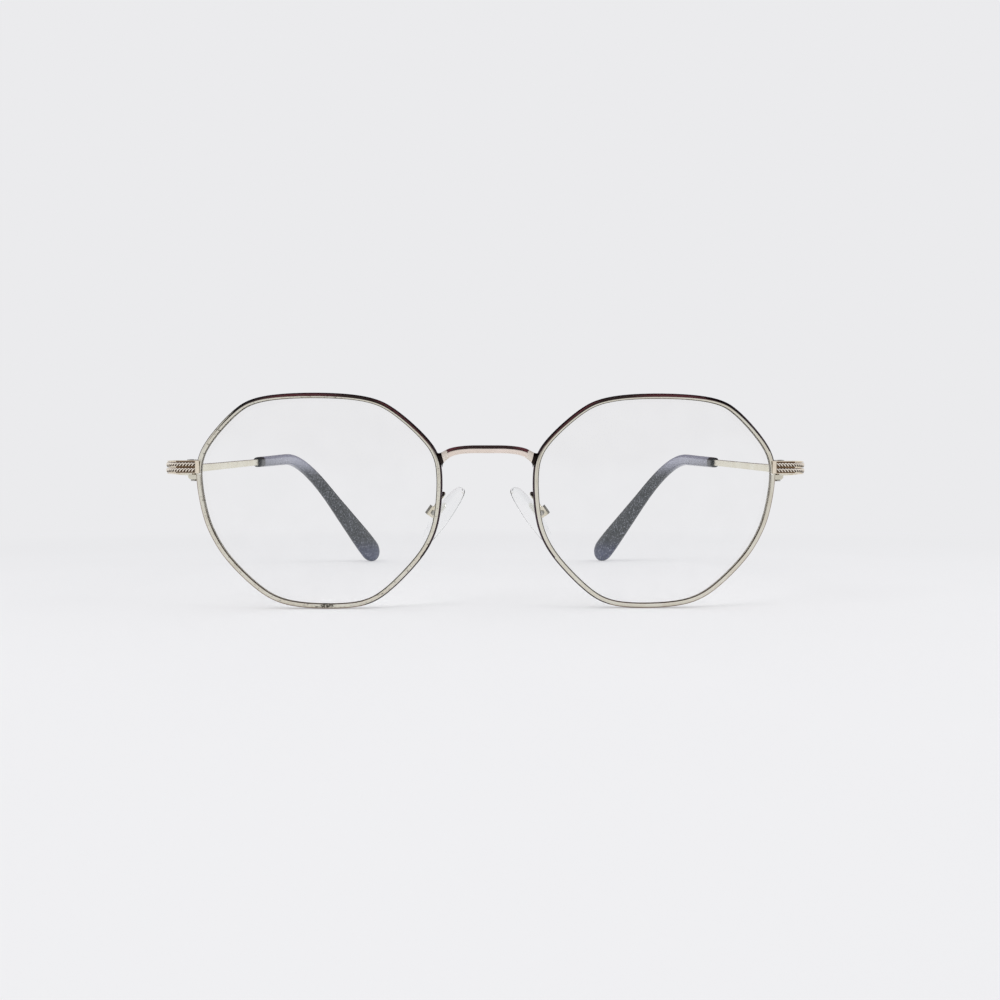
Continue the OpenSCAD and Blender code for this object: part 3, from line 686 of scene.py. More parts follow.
@dataclass(frozen=True)
class Finishes:
    """Every finish on the glasses."""

    # Nickel alloy wire under pale gold plate, tumbled bright: a mirror with a warm cast
    rim_wire: Finish = PlatedMetal("pale_gold_plate_polished", "rim_wire", 0.12, 0.03, 2.5, 0.0007, 0.8,
                                   "e2dfd2", "dad4c4")
    # The same rim where it has stood on tables: the plate is rubbed through at its foot
    rim_worn: Finish = WornMetal("pale_gold_plate_rubbed", "rim_wire", 0.12, 0.03, 2.5, 0.0007, 0.8,
                                 "e2dfd2", "dad4c4", (-34.6, 0.4, 0.62), 2.8, "2e261c")
    # The rim's wall beside the nose and above the band: a dark plum line round the front, a painted dark
    # reflection of the room
    rim_wall: Finish = PlatedMetal("pale_gold_wall_painted_dark_reflection", "rim_wire", 0.35, 0.08, 1.5, 0.001, 0.4,
                                   "473840", "332a2c")
    # Inside the rim's groove: brown painted shade, seen as a thin line through the lens's edge
    rim_groove_painted_shade: Finish = PlatedMetal("pale_gold_plate_groove_painted_shade", "rim_wire", 0.45, 0.06, 1.5, 0.001, 0.4,
                                     "7d7064", "6a5e54")
    # The rim's outer edge elsewhere: a fine brown line, a painted dark reflection
    rim_edge: Finish = PlatedMetal("pale_gold_plate_edge_painted_reflection", "rim_wire", 0.35, 0.06, 1.5, 0.001, 0.4,
                                   "a08c7e", "8a7668")
    # The same plate on the bridge, buffed by hand: a touch pinker than the rims
    bridge: Finish = PlatedMetal("pale_gold_plate_buffed", "rim_wire", 0.14, 0.03, 2.5, 0.0007, 0.8,
                                 "eee0d6", "e6d8cc")
    # Beside its solder the wire is half matt and pale, so it mirrors nothing sharply: a painted highlight,
    # paler on top than the rest
    shoulder: Finish = PaintedHighlightMetal("pale_gold_plate_painted_highlight", "rim_wire", 0.55, 0.06, 1.0, 0.002, 0.3,
                                  "f0e8de", "e6dcd0")
    # Silver solder at the bridge's feet: dark and dull, its darkness a painted shade and dark reflection of
    # the concave joint
    braze: Finish = PlatedMetal("silver_solder_painted_shade", "rim_wire", 0.4, 0.08, 0.6, 0.003, 0.3,
                                "3c3430", "272120")
    # The same plate on the rolled temple strip, a little duller from handling
    temple: Finish = PlatedMetal("pale_gold_plate_rolled", "temple", 0.3, 0.05, 3.0, 0.0006, 1.2,
                                 "f3f0e0", "ece7d4")
    # Struck band: bright on its plate and borders, and warmer than the rims
    band: Finish = PlatedMetal("pale_gold_plate_struck", "band", 0.2, 0.06, 1.2, 0.001, 0.5,
                               "f4ead8", "ebddc6")
    # The closing block, filed flush and plated as the rims are
    block: Finish = PlatedMetal("pale_gold_plate_filed", "band", 0.28, 0.05, 1.2, 0.0015, 0.4,
                                "e6e3d3", "dbd6c4")
    # The same band's recess between its wires: brown and dull, a painted shade
    recess: Finish = PlatedMetal("pale_gold_plate_recess_painted_shade", "band", 0.45, 0.08, 0.8, 0.004, 0.25,
                                 "a08464", "806850")
    # Twisted wire soldered into the band, its crowns polished
    rope: Finish = PlatedMetal("twisted_wire_polished", "band", 0.16, 0.04, 0.9, 0.001, 0.3,
                               "f8f0e4", "ece2d4")
    # Between its strands: brown, a painted shade
    rope_seam: Finish = PlatedMetal("twisted_wire_seam_painted_shade", "band", 0.35, 0.06, 0.9, 0.001, 0.3,
                                    "7a6b5c", "63554a")
    # Hinge stock, plated and left satin: softer highlights than the rims
    hinge: Finish = PlatedMetal("pale_gold_plate_satin", "hinge", 0.32, 0.07, 1.5, 0.002, 0.3,
                                "e9e6d6", "ddd8c4")
    # Pad wire and box, plated with the front
    pad_wire: Finish = PlatedMetal("pale_gold_plate_drawn", "pad_wire", 0.2, 0.05, 1.5, 0.001, 0.4,
                                   "e8e2d2", "ddd5c0")
    # The pad's insert, silver plated and bright, so it hardly shows through the clear pad
    pad_insert: Finish = PlatedMetal("silver_plate_bright", "pad_wire", 0.25, 0.05, 1.5, 0.0005, 0.8,
                                     "f6f6f2", "eeeee8")
    # Stainless steel screws, turned: grey against the gold
    screw: Finish = PlatedMetal("stainless_steel_turned", "screw", 0.26, 0.06, 0.8, 0.0015, 0.2,
                                "b9b7b2", "a9a7a2")
    # Cellulose acetate tip, tumbled glossy: slate black, paler on its level stretch as a painted reflection,
    # bluer at the paddle's end, near black at its front end as a painted dark reflection, with fine pale
    # flecks
    tip: Finish = Acetate("cellulose_acetate_polished", "tip", 0.28, 0.05, 5.0, 0.006, 0.8,
                          "333535", "3e4042", "a9abbd", "50546b", "b4b6c2", 0.5, "0a0c04", 64.8)
    # Optical resin, cast, polished and coated against reflections: clear, with a weak bluish mirror
    lens: Finish = ClearPlastic("optical_resin_polished", "lens", 0.01, 0.005, 8.0, 0.00002, 5.0,
                                "ffffff", "fdfdfd", "a6b0b8", 1.5)
    # The lens's bevel, ground to fit the rim: a soft grey line inside the wire
    bevel: Finish = GroundPlastic("optical_resin_ground", "lens", 0.6, 0.05, 1.5, 0.003, 0.3,
                                  "aca79c", "98938a")
    # Soft clear plastic, moulded: only its edges show, as faint grey lines. It bends light less than the
    # real one, whose truer index would fill it with bright specks
    pad: Finish = ClearPlastic("soft_clear_plastic_moulded", "pad", 0.08, 0.02, 3.0, 0.0003, 1.2,
                               "ffffff", "fafbfb", "c8c8c8", 1.12)


FINISHES = Finishes()


def paint(piece: Piece, *finishes: Finish) -> None:
    """Give a piece its materials, in the order of their face numbers."""
    for finish in finishes:
        piece.data.materials.append(finish.build())


def paint_faces(piece: Piece, side: Side, finishes: Sequence[Finish],
                choose: Callable[[Vector], Finish]) -> None:
    """Give a piece several finishes, face by face.

    Args:
        piece: The piece.
        side: Half that it is on.
        finishes: All its finishes.
        choose: Picks a face's finish by its middle, in millimetres on the left half.
    """
    paint(piece, *finishes)
    for face in piece.data.polygons:
        middle = DATUM.from_frame(face.center)
        middle.x *= side.value
        face.material_index = finishes.index(choose(middle))


def dress(piece: Piece, finish: Finish, body: Body, side: Side, node: str) -> Piece:
    """Give a piece its finish and put it on the body that carries it.

    Args:
        piece: The piece.
        finish: What it is made of.
        body: Kind of body that carries it.
        side: Half that it is on.
        node: CAD node that it stands for.

    Returns:
        The same piece.
    """
    if not piece.data.materials:
        paint(piece, finish)
    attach(piece, body.name_on(side))
    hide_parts(node)
    LOG.info("%s rides on %s", piece.name, body.name_on(side))
    return piece


class Assembly(ABC):
    """A sub-assembly that builds its pieces on one side."""

    def machined(self, node: str, name: str, edge: float, finish: Finish, body: Body, side: Side) -> Piece:
        """Copy a CAD node with its edges broken, and dress the copy.

        Args:
            node: Name of the CAD node without its side.
            name: Name of the new piece without its side.
            edge: Width of its broken edges.
            finish: What it is made of.
            body: Kind of body that carries it.
            side: Half that it is on.

        Returns:
            The new object.
        """
        piece = machined_copy(f"{node}_{side.tag}", f"{name}_{side.tag}", edge)
        return dress(piece, finish, body, side, f"{node}_{side.tag}")

    @abstractmethod
    def build(self, side: Side) -> list[Piece]:
        """Build and dress the pieces of one side and return them."""


# The glasses


@dataclass
class LensOutline:
    """The bowed octagon that a lens is cut to, seen from in front.

    Attributes:
        corners: Corners round the lens's middle before they are scaled, nasal side positive.
        reach: Share of a side that each corner's curve takes.
        bow: How far each side bows out.
        wall: Wall of the rim outside the bevel.
        base_radius: Radius of the lens's front curve.
        controls: Controls of the outline's curves before they are scaled.
        middle: The left lens's middle as (x, z).
        width: Width of the outline.
        height: Height of the outline.
        centre: Middle of the curves before they are scaled.
        scale: Scale that fits them to the CAD rim, across and up.
    """

    corners: tuple[Point2, ...] = ((-15.1, 22), (12, 22.1), (25.4, 10), (24.2, -8.6),
                                   (11, -22.7), (-9.3, -22.2), (-22.7, -8.6), (-26.3, 9.2))
    reach: float = 0.28
    bow: float = 1.1
    wall: float = 0.7
    base_radius: float = 130
    controls: list[Vector] = field(init=False)
    middle: Vector = field(init=False)
    width: float = field(init=False)
    height: float = field(init=False)
    centre: Vector = field(init=False)
    scale: Vector = field(init=False)

    def __post_init__(self) -> None:
        """Work out the curve's controls and the scale that fits them to the CAD rim."""
        self.controls = []
        for a, b in zip(self.corners, self.corners[1:] + self.corners[:1]):
            start, along = Vector(a), Vector(b) - Vector(a)
            out = Vector((-along.y, along.x)).normalized() * self.bow
            self.controls += [start, start + along * self.reach + out, start + along * (1 - self.reach) + out]
        low, high = node_box("rim_left")
        self.middle = Vector(((low.x + high.x) / 2, (low.z + high.z) / 2))
        self.width = high.x - low.x - 2 * self.wall
        self.height = high.z - low.z - 2 * self.wall
        raw = [self.raw(u)[0] for u in self.places(16)]
        least = Vector((min(p.x for p in raw), min(p.y for p in raw)))
        most = Vector((max(p.x for p in raw), max(p.y for p in raw)))
        self.centre = (least + most) / 2
        self.scale = Vector((self.width / (most.x - least.x), self.height / (most.y - least.y)))

    @property
    def turns(self) -> int:
        """Number of curves that the outline has."""
        return len(self.controls)

    def places(self, steps: int) -> list[float]:
        """Places u round the whole outline, with so many steps in each curve."""
        return [k / steps for k in range(steps * self.turns)]

    def raw(self, u: float) -> tuple[Vector, Vector]:
        """Point and direction at u before scaling; u counts curves.

        Args:
            u: Place along the outline.

        Returns:
            The point and the direction.
        """
        i = floor(u)
        a, b, c = (self.controls[(i + k) % self.turns] for k in (-1, 0, 1))
        return spline_point(a, b, c, u - i), spline_slope(a, b, c, u - i)

    def at(self, u: float) -> tuple[Vector, Vector]:
        """Point of the left lens's bevel line as (x, z), and the outward direction there.

        Args:
            u: Place along the outline.

        Returns:
            The point and the outward direction.
        """
        p, s = self.raw(u)
        p = p - self.centre
        way = Vector((-s.x * self.scale.x, s.y * self.scale.y)).normalized()
        point = self.middle + Vector((-p.x * self.scale.x, p.y * self.scale.y))
        return point, Vector((way.y, -way.x))

    def set_back(self, point: Vector) -> float:
        """How far the lens's curve lies behind the front plane at (x, z)."""
        d = point - self.middle
        return (d.length_squared - (self.height / 2) ** 2) / (2 * self.base_radius)

    def off_wall(self, point: Vector) -> float:
        """How far a point of the left half, as (x, z), lies outside the rim's wall."""
        return min((self.at(u)[0] - point).length for u in self.places(8)) - self.wall

    def crossing(self, z: float, nasal: bool) -> float:
        """Place u where one side of the outline crosses a height.

        Args:
            z: The height above the table.
            nasal: True for the side next to the nose.

        Returns:
            The place on that side that lies nearest the height.
        """
        def miss(u: float) -> float:
            """How far the height is missed at u, and far more on the wrong side."""
            point = self.at(u)[0]
            return abs(point.y - z) + (0 if (point.x < self.middle.x) == nasal else self.width)

        return min(self.places(40), key=miss)


OUTLINE = LensOutline()


@dataclass(frozen=True)
class RimAndLens(Assembly):
    """A grooved rim wire, slit where it closes, and the lens that it holds.

    Attributes:
        crown_steps: Steps in the rounding of the rim's front and back.
        lip: Lip of the rim inside the bevel line.
        depth: Depth of the rim from front to back.
        flat: Width of the front and back, next to the lens, that is never rounded off.
        crown: Share of the rest of the front and back that is rounded off.
        crown_depth: Depth of that rounding, as a share of the rim's depth.
        lip_round: Radius of the rim's edges next to the lens.
        slit: Width of the slit where the rim is closed.
        gap: Gap between the lens's bevel and the groove.
        thickness: Thickness of the lens.
        band_way: Least outward direction, as (x, z), above the band.
        upper_way: Least upward part of it where the painted dark reflection there runs widest.
        nose_way: Most temple-ward part of it right beside the nose.
        dark_reflection_way: Nose-ward and upward parts of it past which the rim's edge takes the dark plum
            painted reflection.
    """

    crown_steps: ClassVar[int] = 8

    lip: float = 0.45
    depth: float = 2.0
    flat: float = 0.15
    crown: float = 0.82
    crown_depth: float = 0.28
    lip_round: float = 0.2
    slit: float = 0.25
    gap: float = 0.06
    thickness: float = 2.0
    band_way: Point2 = (0.15, 0.1)
    upper_way: float = 0.45
    nose_way: float = -0.8
    dark_reflection_way: Point2 = (-0.3, 0.5)

    def section(self) -> list[Point2]:
        """Section of the rim wire as (outward, back), from the front lip round to the groove.

        Returns:
            The section's points, in order.
        """
        wall, soft = OUTLINE.wall, self.lip_round
        wide, deep = self.crown * (wall + self.lip - self.flat), self.crown_depth * self.depth
        groove = self.lip + self.gap
        turns = [radians(90 * k / self.crown_steps) for k in range(self.crown_steps + 1)]
        outer = [(wall - wide * (1 - sin(a)), deep * (1 - cos(a))) for a in turns]
        inner = [(-self.lip + soft * (1 - cos(a)), soft * (1 - sin(a))) for a in turns[::2]]
        points = inner + outer
        points += [(x, self.depth - y) for x, y in reversed(points)]
        points += [(-self.lip, self.depth / 2 + groove), (self.gap, self.depth / 2),
                   (-self.lip, self.depth / 2 - groove)]
        return points

    def rim(self, side: Side) -> Piece:
        """Sweep the wire round the outline from one side of the slit to the other, and finish its faces.

        Args:
            side: Half that it is on.

        Returns:
            The rim with its finishes.
        """
        slit_top = node_box("end_piece_left")[0].z
        start = OUTLINE.crossing(slit_top, nasal=False)
        end = OUTLINE.crossing(slit_top - self.slit, nasal=False)
        if OUTLINE.at(start + 0.01)[0].y < OUTLINE.at(start)[0].y:
            start, end = end, start
        if end <= start:
            end += OUTLINE.turns
        count = 8 * OUTLINE.turns
        rings = []
        for k in range(count + 1):
            p, out = OUTLINE.at(start + (end - start) * k / count)
            back = OUTLINE.set_back(p)
            rings.append([Vector((p.x + out.x * a, back + b, p.y + out.y * a)) for a, b in self.section()])
        work = bmesh.new()
        faces = add_loft(work, rings, side)
        metal = FINISHES.rim_worn if side is Side.RIGHT else FINISHES.rim_wire
        finishes = (metal, FINISHES.rim_wall, FINISHES.rim_groove_painted_shade, FINISHES.rim_edge)
        # The section starts with its lip, and its last four faces are the groove
        lip, points = self.crown_steps // 2 + 1, len(self.section())
        # Each station's outer edge, from the crown step that edge() picks, takes a painted dark reflection
        for k in range(count):
            step, finish = self.edge(OUTLINE.at(start + (end - start) * (k + 0.5) / count)[1], side)
            for j in range(lip + step, lip + self.crown_steps + 1):
                faces[k * points + j].material_index = finishes.index(finish)
            # The groove's faces take its painted shade
            for j in range(points - 4, points):
                faces[k * points + j].material_index = finishes.index(FINISHES.rim_groove_painted_shade)
        wire = make_object(f"rim_wire_{side.tag}", work)
        paint(wire, *finishes)
        return wire

    def edge(self, away: Vector, side: Side) -> tuple[int, Finish]:
        """Find the finish of the rim's outer edge: a dark plum painted reflection beside the nose and above
        the band, else a fine brown painted dark reflection.

        Args:
            away: Outward direction there, as (x, z) on the left half.
            side: Half that the rim is on.

        Returns:
            The step of the crown at which that finish starts, and the finish.
        """
        above = away.x > self.band_way[0] and away.y > self.band_way[1]
        step = 3 if away.x < self.nose_way else 4
        if above and side is Side.LEFT:
            step = 2 if away.y > self.upper_way else 3
        # The dark plum painted reflection lies beside the nose, above the band and along the top
        mirrors_dark = above or away.x < self.dark_reflection_way[0] or away.y > self.dark_reflection_way[1]
        return step, FINISHES.rim_wall if mirrors_dark else FINISHES.rim_edge

    def lens(self, side: Side) -> Piece:
        """Curve the lens from its middle out to the bevel that lies in the rim's groove.

        Args:
            side: Half that it is on.

        Returns:
            The lens with its finishes.
        """
        front = (self.depth - self.thickness) / 2
        back = front + self.thickness
        edge = -self.lip - self.gap
        half = self.lip - self.gap
        mid = self.depth / 2
        steps = 12
        shares = [k / steps for k in range(1, steps)]
        rows = [(s, edge * s, front) for s in shares] + [(1, edge, front)]
        rows += [(1, edge, mid - half), (1, -self.gap, mid), (1, edge, mid + half)]
        rows += [(1, edge, back)] + [(s, edge * s, back) for s in reversed(shares)]
        count = 6 * OUTLINE.turns
        stations = [OUTLINE.at(OUTLINE.turns * k / count) for k in range(count)]
        work = bmesh.new()
        rings = []
        for share, out, depth in rows:
            ring = []
            for p, way in stations:
                q = OUTLINE.middle + (p - OUTLINE.middle) * share + way * out
                away = OUTLINE.set_back(p if share == 1 else q)
                ring.append(Vector((q.x, away + depth, q.y)))
            rings.append(ring)
        skin = add_loft(work, rings, side)
        # The four rows of faces between the lens's front and back are its ground bevel
        for face in skin[len(shares) * count:(len(shares) + 4) * count]:
            face.material_index = 1
        for cap, depth in zip(skin[-2:], (front, back)):
            middle = Vector((OUTLINE.middle.x, OUTLINE.set_back(OUTLINE.middle) + depth, OUTLINE.middle.y))
            bmesh.ops.poke(work, faces=[cap])
            work.verts.ensure_lookup_table()
            work.verts[-1].co = DATUM.to_frame(middle, side)
        piece = make_object(f"lens_clear_{side.tag}", work, 25.0)
        paint(piece, FINISHES.lens, FINISHES.bevel)
        return piece

    def build(self, side: Side) -> list[Piece]:
        """Build the rim and the lens; the lens casts no shadow, as clear resin hardly does.

        Args:
            side: Half that they are on.

        Returns:
            The rim and the lens.
        """
        rim = dress(self.rim(side), FINISHES.rim_wire, Body.FRONT, side, f"rim_{side.tag}")
        lens = dress(self.lens(side), FINISHES.lens, Body.FRONT, side, f"lens_{side.tag}")
        lens.visible_shadow = False
        return [rim, lens]


@dataclass(frozen=True)
class Bridge(Assembly):
    """The flat-topped bridge wire that widens to its brazed feet.

    Attributes:
        height: Height of the wire at its middle.
        thickness: Depth of the wire.
        corner: Radius of the wire's edges, as a share of its depth.
        drop: Drop from its middle to its feet.
        tops: Controls of its top from a rim to the middle, as shares of the way and the drop.
        unders: The same controls of its underside.
        sunk: How far its feet reach into the rim's wall, as a share of that wall.
        braze_reach: How far from a rim the braze runs up the wire.
        braze_share: Share of that reach whose colour is the braze's.
        braze_flare: How much the braze raises the wire at the rim; it deepens it half as much.
        highlight_reach: How far from a rim the shoulder's painted highlight runs.
    """

    height: float = 1.7
    thickness: float = 1.7
    corner: float = 0.46
    drop: float = 2.0
    tops: tuple[Point2, ...] = ((1.289, 1.6), (0.936, 0.49), (0.755, 0.18), (0.433, 0), (0, 0))
    unders: tuple[Point2, ...] = ((1.134, 1.8), (0.912, 0.7), (0.763, 0.225), (0.474, 0), (0, 0))
    sunk: float = 0.6
    braze_reach: float = 0.9
    braze_share: float = 0.7
    braze_flare: float = 0.5
    highlight_reach: float = 2.0

    def span(self, half: Sequence[Point2], wall: float, z: float) -> list[Vector]:
        """Turn one edge's controls into points from one rim to the other.

        Args:
            half: Controls from a rim to the middle.
            wall: Distance of a rim's wall from the middle plane.
            z: Height of the edge at the middle.

        Returns:
            The controls over the whole width.
        """
        points = [Vector((x * wall, 0, z - y * self.drop)) for x, y in half]
        return points + [Vector((-p.x, 0, p.z)) for p in reversed(points[:-1])]

    def finish_at(self, place: Vector) -> Finish:
        """Choose the solder's painted shade next to a rim, then the shoulder's painted highlight, then buffed
        wire.

        Args:
            place: A face's middle, from the rims' front plane.

        Returns:
            The face's finish.
        """
        off = OUTLINE.off_wall(Vector((abs(place.x), place.z)))
        if off < self.braze_reach * self.braze_share:
            return FINISHES.braze
        return FINISHES.shoulder if off < self.highlight_reach else FINISHES.bridge

    def build(self, side: Side) -> list[Piece]:
        """Build the whole wire once; it has no side of its own.

        Args:
            side: Any half; the wire lies on both.

        Returns:
            The wire alone.
        """
        low, high = node_box("bridge")
        wall = OUTLINE.middle.x - OUTLINE.width / 2 - OUTLINE.wall
        back = (low.y + high.y) / 2
        tops = self.span(self.tops, wall, high.z)
        unders = self.span(self.unders, wall, high.z - self.height)
        rings = []
        for i, t in along_spline(len(tops), 12):
            top, under = spline_point(*tops[i:i + 3], t), spline_point(*unders[i:i + 3], t)
            heart, up = (top + under) / 2, (top - under).normalized()
            off = OUTLINE.off_wall(Vector((abs(heart.x), heart.z)))
            near = min(1.0, max(0.0, 1 - off / self.braze_reach))
            swell = 1 + self.braze_flare * (1 - sqrt(1 - near * near))
            tall, thick = (top - under).length * swell, self.thickness * (1 + (swell - 1) / 2)
            ring = rounded_box(thick, tall, self.thickness * self.corner, 6)
            if off > -OUTLINE.wall * self.sunk:
                rings.append([heart + up * v + Vector((0, back + w, 0)) for w, v in ring])
        piece = loft("bridge_wire", rings, Side.LEFT)
        # The feet take the solder's painted shade, and the shoulders a painted highlight
        paint_faces(piece, side, (FINISHES.bridge, FINISHES.braze, FINISHES.shoulder), self.finish_at)
        return [dress(piece, FINISHES.bridge, Body.FRONT, side, "bridge")]


@dataclass(frozen=True)
class Band(Assembly):
    """The decorated end piece, its twisted wires, and the block that closes the rim.

    Attributes:
        border: How far the borders stand off the strip.
        bend: Outer radius of the band's bend.
        rope_height: Height of a twisted wire.
        rope_flat: Depth of a twisted wire for each of its height.
        strand: Radius of one strand for each of a wire's height.
        throw: How far a strand's middle runs off the wire's, for each of that height.
        pitch: Length of one bead.
        row: Distance of each wire's middle from the band's middle.
        broken_edge: Width of the band's broken edges.
        block_edge: Width of the block's broken edges.
        screw_edge: Width of the closing screw's broken edges.
        lap: How much further than the CAD band it laps over the rim's front.
        lap_lead: How far rimward of the CAD wires the part that is moved for the lap ends.
        plain: How much nearer to the rim than in the CAD band its recess starts.
        plain_slack: How far from the CAD wires' ends the recess's end wall is looked for.
        painted_shade_lead: How far rimward of the CAD wires the recess takes its painted shade.
        painted_shade_reach: How far round its bend the recess's painted shade runs.
        floor_slack: How far off the recess's floor a face may lie that belongs to it.
        border_high: Height of the bright border above and below the recess.
    """

    border: float = 0.3
    bend: float = 4.1
    rope_height: float = 0.95
    rope_flat: float = 0.42
    strand: float = 0.21
    throw: float = 0.29
    pitch: float = 0.64
    row: float = 0.5925
    broken_edge: float = 0.05
    block_edge: float = 0.08
    screw_edge: float = 0.03
    lap: float = 0.35
    lap_lead: float = 0.8
    plain: float = 0.45
    plain_slack: float = 0.15
    painted_shade_lead: float = 0.4
    painted_shade_reach: float = 1.0
    floor_slack: float = 0.04
    border_high: float = 0.1

    def plan(self, s: float, low: Vector, high: Vector, off: float) -> tuple[Vector, Vector]:
        """Point and outward direction on the twisted wire's plan, a distance along it.

        Args:
            s: Distance along the plan.
            low: The CAD wires' lowest corner.
            high: The CAD wires' highest corner.
            off: Half the wire's depth.

        Returns:
            The point at height 0 and the outward direction.
        """
        radius = self.bend - self.border + off
        start, front, side = low.x - self.plain, low.y + off, high.x - off
        corner = Vector((side - radius, front + radius, 0))
        run, turn = corner.x - start, radius * pi / 2
        if s < run:
            return Vector((start + s, front, 0)), Vector((0, -1, 0))
        if s < run + turn:
            a = (s - run) / radius
            out = Vector((sin(a), -cos(a), 0))
            return corner + radius * out, out
        return Vector((side, corner.y + s - run - turn, 0)), Vector((1, 0, 0))

    def ropes(self, side: Side) -> Piece:
        """Wind two strands round each other along the band, twice, rolled flat against it.

        Args:
            side: Half that it is on.

        Returns:
            Both twisted wires as one piece.
        """
        low, high = node_box("rope_trim_left")
        off = self.rope_height / 2 * self.rope_flat
        radius = self.bend - self.border + off
        across, along = high.x - off - radius - low.x + self.plain, high.y - low.y - off - radius
        length = across + radius * pi / 2 + along
        middle = (low.z + high.z) / 2
        sides, steps = 12, 9
        count = ceil(length / self.pitch * steps)
        strand, throw = self.rope_height * self.strand, self.rope_height * self.throw
        work = bmesh.new()
        for z in (middle + self.row, middle - self.row):
            for phase in (0.0, pi):
                rings = []
                for k in range(count + 1):
                    s = length * k / count
                    point, out = self.plan(s, low, high, off)
                    turn = pi * s / self.pitch + phase
                    deep = out * self.rope_flat
                    heart = point + Vector((0, 0, z + throw * cos(turn))) + deep * throw * sin(turn)
                    rings.append([heart + Vector((0, 0, strand * cos(a))) + deep * strand * sin(a)
                                  for a in (2 * pi * j / sides for j in range(sides))])
                # A strand's back lies in the seam between the strands and takes the painted shade
                for place, face in enumerate(add_loft(work, rings, side)):
                    face.material_index = int(place % sides >= sides // 2)
        piece = make_object(f"twisted_wire_{side.tag}", work)
        paint(piece, FINISHES.rope, FINISHES.rope_seam)
        return piece

    def plate(self, side: Side) -> Piece:
        """Break the end piece's edges, and paint shade on its recess's floor.

        Args:
            side: Half that it is on.

        Returns:
            The band with its finishes.
        """
        piece = machined_copy(f"end_piece_{side.tag}", f"band_{side.tag}", self.broken_edge)
        start = node_box("rope_trim_left")[0].x
        low, high = node_box("end_piece_left")
        for vert in piece.data.vertices:
            x = DATUM.from_frame(vert.co).x * side.value
            if x < start - self.lap_lead:
                vert.co.x -= self.lap * MM * side.value
            elif abs(x - start) < self.plain_slack:
                vert.co.x -= self.plain * MM * side.value
        inner, corner = self.bend - self.border, Vector((high.x - self.bend, low.y + self.bend, 0))
        middle, half = (low.z + high.z) / 2, (high.z - low.z) / 2 - self.border_high

        def finish_at(place: Vector) -> Finish:
            """Choose the painted shade on the recess's floor and the bright finish elsewhere.

            Args:
                place: A face's middle on the left half.

            Returns:
                The face's finish.
            """
            beyond = Vector((max(place.x - corner.x, 0), min(place.y - corner.y, 0), 0)).length
            floor_here = abs(beyond - inner) < self.floor_slack and abs(place.z - middle) < half
            painted_shade_here = start - self.painted_shade_lead < place.x < corner.x + self.painted_shade_reach
            return FINISHES.recess if floor_here and painted_shade_here else FINISHES.band

        paint_faces(piece, side, (FINISHES.band, FINISHES.recess), finish_at)
        return piece

    def build(self, side: Side) -> list[Piece]:
        """Build the band, its wires, the block's lower half and the closing screw.

        Args:
            side: Half that they are on.

        Returns:
            The four pieces.
        """
        return [
            self.machined("closing_block", "rim_block", self.block_edge, FINISHES.block, Body.FRONT, side),
            self.machined("closing_screw", "rim_screw", self.screw_edge, FINISHES.screw, Body.FRONT, side),
            dress(self.plate(side), FINISHES.band, Body.FRONT, side, f"end_piece_{side.tag}"),
            dress(self.ropes(side), FINISHES.rope, Body.FRONT, side, f"rope_trim_{side.tag}"),
        ]


@dataclass(frozen=True)
class Hinge(Assembly):
    """Three barrels on a slotted screw, the middle one on the temple.

    Attributes:
        broken_edge: Width of the barrels' broken edges.
        screw_edge: Width of the screw's broken edges.
    """

    broken_edge: float = 0.06
    screw_edge: float = 0.04

    def build(self, side: Side) -> list[Piece]:
        """Build both leaves and the screw.

        Args:
            side: Half that they are on.

        Returns:
            The three pieces.
        """
        edge, metal = self.broken_edge, FINISHES.hinge
        return [
            self.machined("hinge_front", "hinge_fork", edge, metal, Body.FRONT, side),
            self.machined("hinge_temple", "hinge_tongue", edge, metal, Body.TEMPLE, side),
            self.machined("hinge_screw", "hinge_pin", self.screw_edge, FINISHES.screw, Body.FRONT, side),
        ]


